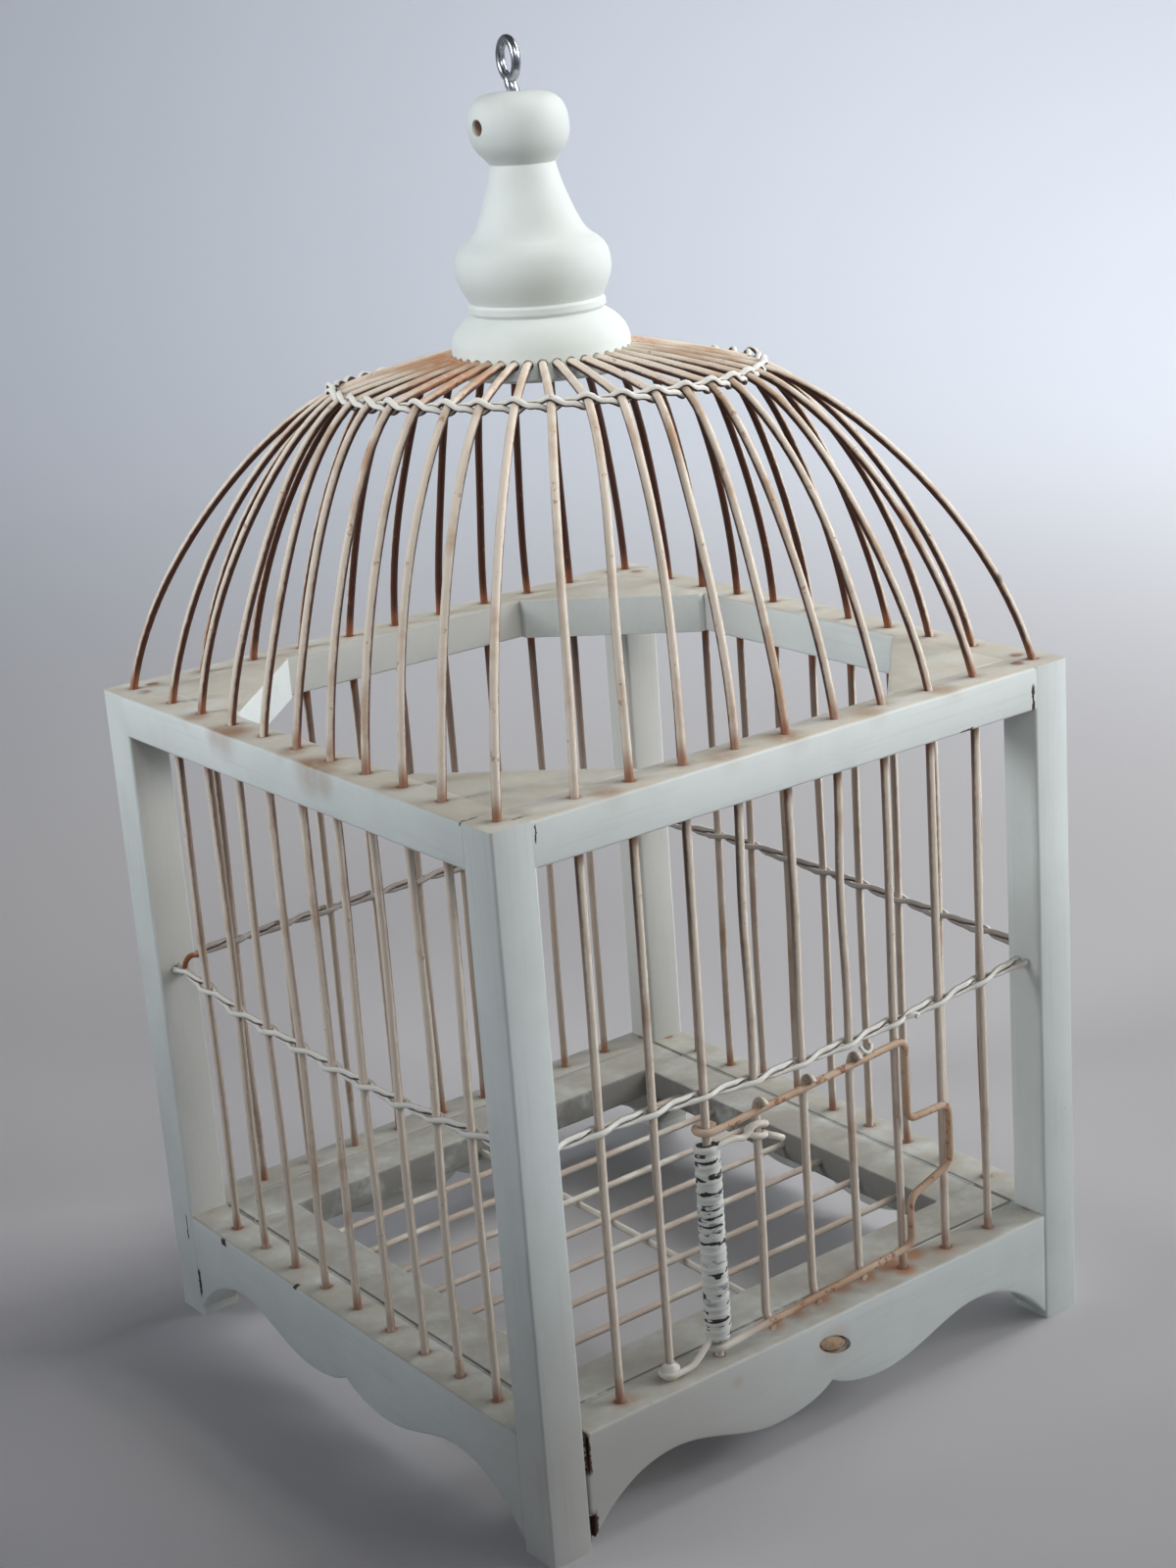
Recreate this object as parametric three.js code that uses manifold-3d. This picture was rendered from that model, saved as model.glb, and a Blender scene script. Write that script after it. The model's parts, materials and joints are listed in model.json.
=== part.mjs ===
import * as THREE from "three";
import { mergeVertices } from "three/addons/utils/BufferGeometryUtils.js";
import Module from "manifold-3d";

// Wooden birdcage: a post-and-rail frame with wire sides, and a wire dome under a turned finial.
// Millimetres, +Z up, the door side towards -Y, the origin at the centre of the feet.

const wasm = await Module();
wasm.setup();

// Timber frame
const cageWidth = 200;
const cageDepth = 200;
const frameHeight = 205;
const timberWidth = 13;
const edgeWear = 0.8;
const railHeight = 12.6;
const cornerBlockLeg = 43;
const cornerBlockTip = 2.5;
const apronHeight = 35;
const floorBoardWidth = 16.2;
const floorBoardThickness = 10;

// Cage wires
const wireDiameter = 2.4;
const barsPerSide = 9;
const barInset = 6.8;
const barSeatDepth = 10;
const domeSeatDepth = 5;
const wireEndGap = 0.4;
const bindHeight = 116;
const bindTail = 1.5;
const slackSteps = 4; // bars from each post over which slack strands come down
const strandDiameter = 1.3;
const domeRingRadius = 60;
const domeRingHeight = 291.5;
const floorWires = 7;
const floorSocketDepth = 6;

// Finial and its screw eye
const finialWidth = 50;
const finialHeight = 75.6;
const finialBottom = 293.5;
const wireSocketRise = 5;
const wireSocketDepth = 4.2;
const crossHoleDiameter = 4.6;
const crossHoleDepth = 9;
const eyeWireDiameter = 2;
const eyeOuterDiameter = 12.7;
const eyeShankDepth = 8;
const eyeStand = 1.4;

// Door and its spring
const hingeBar = 2;
const latchBar = 6;
const jogBar = 7;
const doorSillGap = 0.6; // between the apron and the lowest hook of the door bars
const doorHeadDrop = 9.1; // from the strands above it down to the top of the door at its hinge
const doorSlope = 0.06; // the door hangs a little low at its hinge
const jogFootShare = 0.3;
const jogBottomShare = 0.385;
const jogTopShare = 0.68;
const doorBendRadius = 3;
const springWireDiameter = 1.8;
const springPitch = 2.35;
const springArmRise = 1.2;
const springEndPlay = 0.8;

// Fits, and the facets of round pieces
const seatGap = 0.3; // painted joint between two pieces that touch
const fuseDepth = 0.12; // how far two wires that are bound together sink into one another
const cutOverrun = 1;
const vertexTolerance = 1e-4;
const wireSides = 5;
const strandSides = 4;
const springSides = 5;
const springStepsPerTurn = 8;
const domeBendSteps = 6;
const hookStep = Math.PI / 6;
const finialSegments = 20;
const apronCurveSteps = 4;

// Worked out from the values above
const wireRadius = wireDiameter / 2;
const strandRadius = strandDiameter / 2;
const barPitch = (span) => (span - 2 * timberWidth) / (barsPerSide + 1);
const middleBar = (barsPerSide - 1) / 2;
const barX = (index, span) => (index - middleBar) * barPitch(span);
const wireInset = (side) => side.reach - barInset;
const boardInnerFace = (reach) => reach - timberWidth - seatGap - floorBoardWidth;
const floorWireHeight = apronHeight - floorBoardThickness / 2;
const wireSocketHeight = finialBottom + wireSocketRise;

// Each side is modelled looking at it from outside, with X to the right and -Y towards the viewer.
// The hand-twined strands start a little higher or lower on each side, and sag or rise in its middle.
const sides = [
  { name: "front", corner: "front_right", turn: 0, bindRise: -1.2, bindSag: 2.8 },
  { name: "right", corner: "back_right", turn: Math.PI / 2, bindRise: 1.5, bindSag: -1.5 },
  { name: "back", corner: "back_left", turn: Math.PI, bindRise: 1.8, bindSag: -1 },
  { name: "left", corner: "front_left", turn: -Math.PI / 2, bindRise: 1, bindSag: 5.5 },
];
const alongCage = (side) => side.name === "front" || side.name === "back";
for (const side of sides) {
  side.span = alongCage(side) ? cageWidth : cageDepth;
  side.reach = (alongCage(side) ? cageDepth : cageWidth) / 2;
}

// Materials
const paintedWood = () => new THREE.MeshStandardMaterial({ color: 0xccd1cc, roughness: 0.72, metalness: 0 });
const paintedIron = () => new THREE.MeshStandardMaterial({ color: 0xc9bba9, roughness: 0.6, metalness: 0.2 });
const rustedIron = () => new THREE.MeshStandardMaterial({ color: 0xa58a76, roughness: 0.75, metalness: 0.3 });
const zincPlate = () => new THREE.MeshStandardMaterial({ color: 0xb9bcc0, roughness: 0.3, metalness: 1 });

// A directed turn of a shape drawn in XY and extruded along Z.
const basis = (x, y, z) => new THREE.Matrix4().makeBasis(x, y, z);
const X = new THREE.Vector3(1, 0, 0);
const Y = new THREE.Vector3(0, 1, 0);
const Z = new THREE.Vector3(0, 0, 1);
const backward = Y.clone().negate();
const alongX = basis(Y, Z, X);
const uprightAlongMinusY = basis(X, Z, backward);

// A wire bent through given points, one straight length between each two.
class BentWire extends THREE.Curve {
  constructor(points) {
    super();
    this.points = points;
    this.lengths = points.length - 1;
  }

  getPoint(share) {
    return this.points[Math.round(share * this.lengths)].clone();
  }

  getPointAt(share) {
    return this.getPoint(share);
  }

  getSpacedPoints() {
    return this.points.map((point) => point.clone());
  }

  getTangentAt(share) {
    const index = Math.round(share * this.lengths);
    const tangent = new THREE.Vector3();
    if (index > 0) tangent.add(this.points[index].clone().sub(this.points[index - 1]).normalize());
    if (index < this.lengths) tangent.add(this.points[index + 1].clone().sub(this.points[index]).normalize());
    return tangent.normalize();
  }
}

function polygon(radius, corners, startAngle = 0) {
  const outline = [];
  for (let corner = 0; corner < corners; corner += 1) {
    const angle = startAngle + (2 * Math.PI * corner) / corners;
    outline.push(new THREE.Vector2(radius * Math.cos(angle), radius * Math.sin(angle)));
  }
  return new THREE.Shape(outline);
}

function wire(points, diameter = wireDiameter, corners = wireSides) {
  return new THREE.ExtrudeGeometry(polygon(diameter / 2, corners), {
    steps: points.length - 1,
    extrudePath: new BentWire(points),
  });
}

// A drill for a wire of this diameter, whose flats stand clear of it all round.
function drill(diameter, depth, corners = wireSides, startAngle = 0) {
  const radius = (diameter / 2 + seatGap) / Math.cos(Math.PI / corners);
  return new THREE.ExtrudeGeometry(polygon(radius, corners, startAngle), { depth, bevelEnabled: false });
}

function solidOf(geometry) {
  const bare = geometry.clone();
  bare.deleteAttribute("normal");
  bare.deleteAttribute("uv");
  const merged = mergeVertices(bare, vertexTolerance);
  const corners = merged.index.array;
  const faces = [];
  for (let i = 0; i < corners.length; i += 3) {
    const [a, b, c] = corners.slice(i, i + 3);
    if (a !== b && b !== c && c !== a) faces.push(a, b, c);
  }
  const vertProperties = merged.attributes.position.array;
  return new wasm.Manifold(new wasm.Mesh({ numProp: 3, vertProperties, triVerts: new Uint32Array(faces) }));
}

function geometryOf(solid) {
  const mesh = solid.getMesh();
  const geometry = new THREE.BufferGeometry();
  geometry.setAttribute("position", new THREE.BufferAttribute(mesh.vertProperties, 3));
  geometry.setIndex(new THREE.BufferAttribute(mesh.triVerts, 1));
  return geometry;
}

const joined = (geometries) => geometryOf(geometries.map(solidOf).reduce((all, next) => all.add(next)));

const cut = (geometry, tools) =>
  geometryOf(tools.map(solidOf).reduce((left, tool) => left.subtract(tool), solidOf(geometry)));

function piece(group, name, geometry, material, position = new THREE.Vector3()) {
  const mesh = new THREE.Mesh(geometry, material);
  mesh.name = name;
  mesh.position.copy(position);
  group.add(mesh);
  return mesh;
}

// A rectangle round the origin with worn corners.
function wornRectangle(width, height) {
  const x = width / 2;
  const y = height / 2;
  const outline = [
    [x - edgeWear, -y],
    [x, -y + edgeWear],
    [x, y - edgeWear],
    [x - edgeWear, y],
    [-x + edgeWear, y],
    [-x, y - edgeWear],
    [-x, -y + edgeWear],
    [-x + edgeWear, -y],
  ];
  return new THREE.Shape(outline.map(([px, py]) => new THREE.Vector2(px, py)));
}

// A beam along X, centred on the origin.
function beam(length, across, high) {
  const geometry = new THREE.ExtrudeGeometry(wornRectangle(across, high), { depth: length, bevelEnabled: false });
  return geometry.translate(0, 0, -length / 2).applyMatrix4(alongX);
}

// Posts, each with a socket in its top for the corner wire of the dome
function post() {
  const column = new THREE.ExtrudeGeometry(wornRectangle(timberWidth, timberWidth), {
    depth: frameHeight,
    bevelEnabled: false,
  });
  const socket = drill(wireDiameter, domeSeatDepth + seatGap + cutOverrun);
  const inset = timberWidth / 2 - barInset;
  socket.translate(inset, -inset, frameHeight - domeSeatDepth - seatGap);
  return cut(column, [socket]);
}

// Top rails, drilled right through for the bars below and the dome wires above
function topRail(side) {
  const length = side.span - 2 * timberWidth - 2 * seatGap;
  const drills = [];
  for (let index = 0; index < barsPerSide; index += 1) {
    const hole = drill(wireDiameter, railHeight + 2 * cutOverrun);
    hole.translate(barX(index, side.span), barInset - timberWidth / 2, -railHeight / 2 - cutOverrun);
    drills.push(hole);
  }
  return cut(beam(length, timberWidth, railHeight), drills);
}

// Corner blocks that tie two top rails together, their sharp tips cut square
function cornerBlock() {
  const outline = [
    [0, 0],
    [0, cornerBlockLeg],
    [-cornerBlockTip, cornerBlockLeg],
    [-cornerBlockLeg, cornerBlockTip],
    [-cornerBlockLeg, 0],
  ];
  const shape = new THREE.Shape(outline.map(([x, y]) => new THREE.Vector2(x, y)));
  return new THREE.ExtrudeGeometry(shape, { depth: railHeight, bevelEnabled: false });
}

// Aprons with a scalloped lower edge: [share of the half length, share of the height]
const apronFootShares = [1, 0.05];
const apronArchShares = [0.93, 0.28, 0.82, 0.52, 0.66, 0.52];
const apronLobeShares = [0.52, 0.52, 0.38, 0.28, 0.24, 0.28];
const apronCuspShares = [0.14, 0.28, 0.05, 0.33, 0, 0.43];

function apron(side) {
  const half = side.span / 2 - timberWidth - seatGap;
  const scaled = (shares, mirror) =>
    shares.map((share, index) => (index % 2 ? share * apronHeight : share * half * mirror));
  const shape = new THREE.Shape();
  shape.moveTo(...scaled(apronFootShares, 1));
  shape.lineTo(half, apronHeight);
  shape.lineTo(-half, apronHeight);
  shape.lineTo(...scaled(apronFootShares, -1));
  shape.bezierCurveTo(...scaled(apronArchShares, -1));
  shape.bezierCurveTo(...scaled(apronLobeShares, -1));
  shape.bezierCurveTo(...scaled(apronCuspShares, -1));
  const [cuspOut, cuspOutRise, cuspIn, cuspInRise] = scaled(apronCuspShares, 1);
  const [lobeOut, lobeOutRise, lobeIn, lobeInRise, lobeX, lobeRise] = scaled(apronLobeShares, 1);
  const [archOut, archOutRise, archIn, archInRise, archX, archRise] = scaled(apronArchShares, 1);
  shape.bezierCurveTo(cuspIn, cuspInRise, cuspOut, cuspOutRise, lobeX, lobeRise);
  shape.bezierCurveTo(lobeIn, lobeInRise, lobeOut, lobeOutRise, archX, archRise);
  shape.bezierCurveTo(archIn, archInRise, archOut, archOutRise, ...scaled(apronFootShares, 1));
  const board = new THREE.ExtrudeGeometry(shape, {
    depth: timberWidth,
    curveSegments: apronCurveSteps,
    bevelEnabled: false,
  });
  board.applyMatrix4(uprightAlongMinusY);
  const drills = [];
  for (let index = 0; index < barsPerSide; index += 1) {
    const hole = drill(wireDiameter, barSeatDepth + cutOverrun);
    hole.translate(barX(index, side.span), barInset - timberWidth, apronHeight - barSeatDepth);
    drills.push(hole);
  }
  return cut(board, drills);
}

// Floor boards: those along X take the cross wire, those along Y the floor wires
const floorWirePitch = (2 * boardInnerFace(cageDepth / 2)) / (floorWires + 1);
const floorWireY = (index) => (index - (floorWires - 1) / 2) * floorWirePitch;
const crossWireDrop = wireDiameter * Math.cos(Math.PI / wireSides) - fuseDepth;

function floorBoard(side) {
  const half = side.span / 2 - timberWidth - seatGap;
  const length = alongCage(side) ? 2 * half : 2 * (half - floorBoardWidth - seatGap);
  const places = alongCage(side) ? [0] : Array.from({ length: floorWires }, (_, index) => floorWireY(index));
  const drop = alongCage(side) ? crossWireDrop : 0;
  const drills = places.map((x) => {
    const hole = drill(wireDiameter, floorSocketDepth + cutOverrun).applyMatrix4(uprightAlongMinusY);
    return hole.translate(x, floorBoardWidth / 2 + cutOverrun, -drop);
  });
  return cut(beam(length, floorBoardWidth, floorBoardThickness), drills);
}

// Wire floor: wires parallel to the door side, and one across under them
function floorGrid() {
  const reachX = boardInnerFace(cageWidth / 2) + floorSocketDepth - seatGap;
  const reachY = boardInnerFace(cageDepth / 2) + floorSocketDepth - seatGap;
  const crossHeight = floorWireHeight - crossWireDrop;
  const wires = [wire([new THREE.Vector3(0, -reachY, crossHeight), new THREE.Vector3(0, reachY, crossHeight)])];
  for (let index = 0; index < floorWires; index += 1) {
    const y = floorWireY(index);
    wires.push(wire([new THREE.Vector3(-reachX, y, floorWireHeight), new THREE.Vector3(reachX, y, floorWireHeight)]));
  }
  return joined(wires);
}

// Upright bars, bound at mid height by two strands that pass each bar on opposite faces
const barBottom = apronHeight - barSeatDepth + seatGap;
const barTop = frameHeight - domeSeatDepth - wireEndGap;
const touching = (wireRadius + strandRadius) * Math.cos(Math.PI / strandSides) + fuseDepth;
const clearing = wireRadius + strandRadius + seatGap;
const crossing = strandRadius + seatGap / 2;

function bar(index, side, bottom = barBottom) {
  const x = barX(index, side.span);
  return wire([new THREE.Vector3(x, -wireInset(side), bottom), new THREE.Vector3(x, -wireInset(side), barTop)]);
}

// One strand of a pair twined past wires that stand at whole steps. station(step) gives the point on the
// line of the wires, the direction across it, the direction along the wires, and the strand's distance.
function strand(station, firstStep, lastStep, hand) {
  const points = [];
  for (let step = firstStep; step <= lastStep; step += 1 / 2) {
    const { at, across, along, distance } = station(step);
    const point = at.clone().addScaledVector(across, hand * distance * Math.cos(Math.PI * step));
    points.push(point.addScaledVector(along, hand * crossing * Math.sin(Math.PI * step)));
  }
  return wire(points, strandDiameter, strandSides);
}

// Height of the strands on a side, from the post at step -1 to the other post.
function strandHeight(side, step) {
  const stepsIn = Math.min(step + 1, barsPerSide - step);
  return bindHeight + side.bindRise - side.bindSag * THREE.MathUtils.clamp(stepsIn / slackSteps, 0, 1);
}

function sideBars(side) {
  const isDoorSide = side.name === "front";
  const bars = [];
  for (let index = 0; index < barsPerSide; index += 1) {
    const inDoorway = isDoorSide && index > hingeBar && index < latchBar;
    if (isDoorSide && index === hingeBar) continue;
    bars.push(bar(index, side, inDoorway ? strandHeight(side, index) - bindTail : barBottom));
  }
  const postFace = side.span / 2 - timberWidth - seatGap - strandRadius;
  const station = (step) => ({
    at: new THREE.Vector3(
      THREE.MathUtils.clamp(barX(step, side.span), -postFace, postFace),
      -wireInset(side),
      strandHeight(side, step),
    ),
    across: backward,
    along: Z,
    distance: isDoorSide && step === hingeBar ? clearing : touching,
  });
  const strands = [1, -1].map((hand) => strand(station, -1, barsPerSide, hand));
  return joined([...bars, ...strands]);
}

// Dome wires: up from the rail, over the ring and into the finial. Shares of the way in and of the rise
const domeInShares = [0, 0.11, 0.55, 1];
const domeRiseShares = [0, 0.35, 0.87, 1];
const ringTilt = 0.38;

function bezier([a, b, c, d], share) {
  const rest = 1 - share;
  return a * rest ** 3 + 3 * b * rest ** 2 * share + 3 * c * rest * share ** 2 + d * share ** 3;
}

const polar = (radius, angle, height) =>
  new THREE.Vector3(radius * Math.sin(angle), -radius * Math.cos(angle), height);

const wiresPerQuarter = barsPerSide + 1;
const ringAngle = (index) => ((index - middleBar) * Math.PI) / 2 / wiresPerQuarter;

function domeWire(index, side) {
  const footX = index < barsPerSide ? barX(index, side.span) : side.span / 2 - barInset;
  const footRadius = Math.hypot(footX, wireInset(side));
  const footAngle = Math.atan2(footX, wireInset(side));
  const angle = ringAngle(index);
  const rise = domeRingHeight - frameHeight;
  const points = [polar(footRadius, footAngle, frameHeight - domeSeatDepth)];
  for (let step = 0; step <= domeBendSteps; step += 1) {
    const share = step / domeBendSteps;
    const radius = footRadius + (domeRingRadius - footRadius) * bezier(domeInShares, share);
    const height = frameHeight + rise * bezier(domeRiseShares, share);
    points.push(polar(radius, THREE.MathUtils.lerp(footAngle, angle, share), height));
  }
  points.push(polar(finialWidth / 2 + wireDiameter, angle, wireSocketHeight));
  points.push(polar(finialWidth / 2 - wireSocketDepth + seatGap, angle, wireSocketHeight));
  return wire(points);
}

function domeWires(side) {
  const wires = Array.from({ length: wiresPerQuarter }, (_, index) => domeWire(index, side));
  const firstStep = -1 / 2;
  const lastStep = wiresPerQuarter - 1 / 2;
  const endGap = strandRadius / domeRingRadius;
  const station = (step) => {
    const pullBack = step === firstStep ? endGap : step === lastStep ? -endGap : 0;
    const angle = ringAngle(step) + pullBack;
    const outward = polar(1, angle, 0);
    return {
      at: polar(domeRingRadius, angle, domeRingHeight),
      across: outward.clone().multiplyScalar(Math.sin(ringTilt)).addScaledVector(Z, Math.cos(ringTilt)),
      along: outward.clone().multiplyScalar(Math.cos(ringTilt)).addScaledVector(Z, -Math.sin(ringTilt)),
      distance: touching,
    };
  };
  const strands = [1, -1].map((hand) => strand(station, firstStep, lastStep, hand));
  return joined([...wires, ...strands]);
}

// Turned finial: [share of the half width, share of the height] from the underside up
const finialProfileShares = [
  [0, 0],
  [0.956, 0],
  [1, 0.012],
  [1, 0.101],
  [0.976, 0.139],
  [0.896, 0.179],
  [0.784, 0.208],
  [0.728, 0.217],
  [0.764, 0.23],
  [0.764, 0.251],
  [0.744, 0.262],
  [0.756, 0.272],
  [0.808, 0.304],
  [0.856, 0.348],
  [0.864, 0.397],
  [0.82, 0.447],
  [0.736, 0.476],
  [0.668, 0.492],
  [0.612, 0.513],
  [0.556, 0.549],
  [0.504, 0.591],
  [0.416, 0.673],
  [0.356, 0.751],
  [0.38, 0.765],
  [0.476, 0.808],
  [0.528, 0.844],
  [0.552, 0.886],
  [0.524, 0.939],
  [0.46, 0.974],
  [0.328, 0.993],
  [0.18, 1],
  [0, 1],
];
const ballHeightShare = 0.886;
const ballWidthShare = 0.552;

function finial() {
  const outline = finialProfileShares.map(
    ([across, up]) => new THREE.Vector2((across * finialWidth) / 2, finialBottom + up * finialHeight),
  );
  const betweenWires = ringAngle(1 / 2);
  const turned = new THREE.LatheGeometry(outline, finialSegments, betweenWires);
  turned.applyMatrix4(basis(X, Z, backward));
  const drills = [];
  for (let index = 0; index < sides.length * wiresPerQuarter; index += 1) {
    const socket = drill(wireDiameter, wireSocketDepth + cutOverrun, wireSides, Math.PI / 2);
    socket.applyMatrix4(basis(X, Z, backward));
    socket.translate(0, -finialWidth / 2 + wireSocketDepth, wireSocketHeight);
    drills.push(socket.rotateZ(ringAngle(index)));
  }
  const eyeHole = drill(eyeWireDiameter, eyeShankDepth + seatGap + cutOverrun);
  drills.push(eyeHole.translate(0, 0, finialBottom + finialHeight - eyeShankDepth - seatGap));
  const crossHole = new THREE.CylinderGeometry(
    crossHoleDiameter / 2,
    crossHoleDiameter / 2,
    crossHoleDepth + cutOverrun,
    2 * wireSides,
  );
  crossHole.rotateZ(Math.PI / 2);
  const ballRadius = (ballWidthShare * finialWidth) / 2;
  const ballHeight = finialBottom + ballHeightShare * finialHeight;
  crossHole.translate(-ballRadius + (crossHoleDepth - cutOverrun) / 2, 0, ballHeight);
  drills.push(crossHole);
  return cut(turned, drills);
}

// Screw eye: a shank and an open ring bent from one wire
const eyeTurn = -Math.PI / 15;
const eyeRingStart = -0.42 * Math.PI;
const eyeRingEnd = 1.28 * Math.PI;
const eyeRingSteps = 11;

function screwEye() {
  const ringRadius = (eyeOuterDiameter - eyeWireDiameter) / 2;
  const centre = eyeStand + eyeOuterDiameter / 2;
  const points = [new THREE.Vector3(0, 0, -eyeShankDepth), new THREE.Vector3(0, 0, eyeStand)];
  for (let step = 0; step <= eyeRingSteps; step += 1) {
    const angle = THREE.MathUtils.lerp(eyeRingStart, eyeRingEnd, step / eyeRingSteps);
    points.push(new THREE.Vector3(0, ringRadius * Math.cos(angle), centre + ringRadius * Math.sin(angle)));
  }
  return wire(points, eyeWireDiameter);
}

// Door: everything hooks with the same clearance, measured at the flats of the bends
const door = sides[0];
const hingeX = barX(hingeBar, door.span);
const hingeY = -wireInset(door);
const hookRadius = (wireDiameter + seatGap) / Math.cos(hookStep / 2);
const doorY = hingeY - hookRadius;
const doorClimb = (x) => doorSlope * (x - hingeX);
const lowestHook = doorClimb(barX(hingeBar + 1, door.span)) - hookRadius - wireRadius;
const doorBottom = apronHeight + doorSillGap - lowestHook;
const doorTop = strandHeight(door, (hingeBar + latchBar) / 2) - doorHeadDrop;
const quarterTurn = Math.PI / 2;
const threeQuarterTurn = 3 * quarterTurn;

// Points round an arc in the plane of two directions.
function arc(centre, first, second, radius, from, to, step) {
  const steps = Math.round(Math.abs(to - from) / step);
  return Array.from({ length: steps + 1 }, (_, index) => {
    const angle = from + ((to - from) * index) / steps;
    const point = centre.clone().addScaledVector(first, radius * Math.cos(angle));
    return point.addScaledVector(second, radius * Math.sin(angle));
  });
}

// The same path with each inner corner bent round a radius in two chords.
function rounded(corners, radius) {
  const points = [corners[0]];
  for (let index = 1; index < corners.length - 1; index += 1) {
    const here = corners[index];
    const towardsLast = corners[index - 1].clone().sub(here).normalize();
    const towardsNext = corners[index + 1].clone().sub(here).normalize();
    const inside = towardsLast.clone().add(towardsNext);
    const bulge = 1 - Math.SQRT1_2;
    points.push(here.clone().addScaledVector(towardsLast, radius));
    points.push(here.clone().addScaledVector(inside, radius * bulge));
    points.push(here.clone().addScaledVector(towardsNext, radius));
  }
  points.push(corners[corners.length - 1]);
  return points;
}

function doorFrame() {
  const freeX = barX(latchBar, door.span) + wireRadius;
  const jogX = barX(jogBar, door.span);
  const [jogFoot, jogBottom, jogTop] = [jogFootShare, jogBottomShare, jogTopShare].map((share) =>
    THREE.MathUtils.lerp(doorBottom, doorTop, share),
  );
  const outline = [
    [hingeX, doorTop],
    [freeX, doorTop + doorClimb(freeX)],
    [freeX, jogTop],
    [jogX, jogTop],
    [jogX, jogBottom],
    [freeX, jogFoot],
    [freeX, doorBottom + doorClimb(freeX)],
    [hingeX, doorBottom],
  ].map(([x, z]) => new THREE.Vector3(x, doorY, z));
  const hinge = (z) => new THREE.Vector3(hingeX, hingeY, z);
  const top = arc(hinge(doorTop), X, Y, hookRadius, -quarterTurn - threeQuarterTurn, -quarterTurn, hookStep);
  const bottom = arc(hinge(doorBottom), X, Y, hookRadius, -quarterTurn, -quarterTurn - threeQuarterTurn, hookStep);
  return wire([...top.slice(0, -1), ...rounded(outline, doorBendRadius), ...bottom.slice(1)]);
}

const doorHookTurn = 4 * hookStep;

function doorBar(index) {
  const x = barX(index, door.span);
  const frameWire = (z) => new THREE.Vector3(x, doorY, z + doorClimb(x));
  const top = arc(frameWire(doorTop), Y, Z, hookRadius, doorHookTurn, 0, hookStep);
  const bottom = arc(frameWire(doorBottom), Y, Z, hookRadius, 0, -doorHookTurn, hookStep);
  return wire([...top, ...bottom]);
}

// Door spring: lower arm hooked round the fixed bar, coil round the hinge wire, upper arm round a door bar
const springRadius =
  (wireRadius + seatGap + springWireDiameter / 2) / Math.cos(Math.PI / springStepsPerTurn);
const springEndDistance = wireRadius + springEndPlay + springWireDiameter / 2;
const springBottom = doorBottom + springEndDistance;
const springRoom = doorTop - springEndDistance - springArmRise - springBottom;
const springTurns = Math.floor(springRoom / springPitch);
const springHookDrop = springWireDiameter + 2 * seatGap;
const springWaveShares = [0.4, 0.68];

function springPoints() {
  const step = (2 * Math.PI) / springStepsPerTurn;
  const fixedBar = new THREE.Vector3(barX(hingeBar - 1, door.span), hingeY, springBottom);
  const lowerHook = arc(fixedBar, X, Y, springRadius, quarterTurn, threeQuarterTurn, step);
  const lowerEnd = lowerHook[0].clone().addScaledVector(X, springWireDiameter);
  const coil = [];
  for (let index = 0; index <= springTurns * springStepsPerTurn; index += 1) {
    const angle = -quarterTurn + index * step;
    const height = springBottom + (springPitch * index) / springStepsPerTurn;
    coil.push(
      new THREE.Vector3(hingeX + springRadius * Math.cos(angle), hingeY + springRadius * Math.sin(angle), height),
    );
  }
  const coilEnd = coil[coil.length - 1];
  const doorBarX = barX(hingeBar + 1, door.span);
  const [waveLow, waveHigh] = springWaveShares.map((share) =>
    coilEnd.clone().setX(THREE.MathUtils.lerp(hingeX, doorBarX, share)),
  );
  waveHigh.addScaledVector(Z, springArmRise);
  const hookCentre = new THREE.Vector3(doorBarX, hingeY, waveHigh.z);
  const upperHook = arc(hookCentre, X, Y, springRadius, -quarterTurn, threeQuarterTurn, step);
  upperHook.forEach((point, index) => {
    point.z -= (springHookDrop * index) / springStepsPerTurn;
  });
  const upperEnd = upperHook[upperHook.length - 1].clone().addScaledVector(X, springWireDiameter);
  return [lowerEnd, ...lowerHook, ...coil, waveLow, waveHigh, ...upperHook, upperEnd];
}

// The least gap of a wire to itself, between points more than half a turn apart along it.
function leastGap(points, diameter, apart) {
  let least = Infinity;
  points.forEach((point, index) => {
    points.slice(index + apart).forEach((other) => {
      least = Math.min(least, point.distanceTo(other));
    });
  });
  return least - diameter;
}

function doorSpring() {
  const points = springPoints();
  const gap = leastGap(points, springWireDiameter, springStepsPerTurn - 1);
  console.log(`door spring: ${springTurns} turns, least gap to itself ${gap.toFixed(2)} mm`);
  return wire(points, springWireDiameter, springSides);
}

// Assembly
const birdcage = new THREE.Group();

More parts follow.
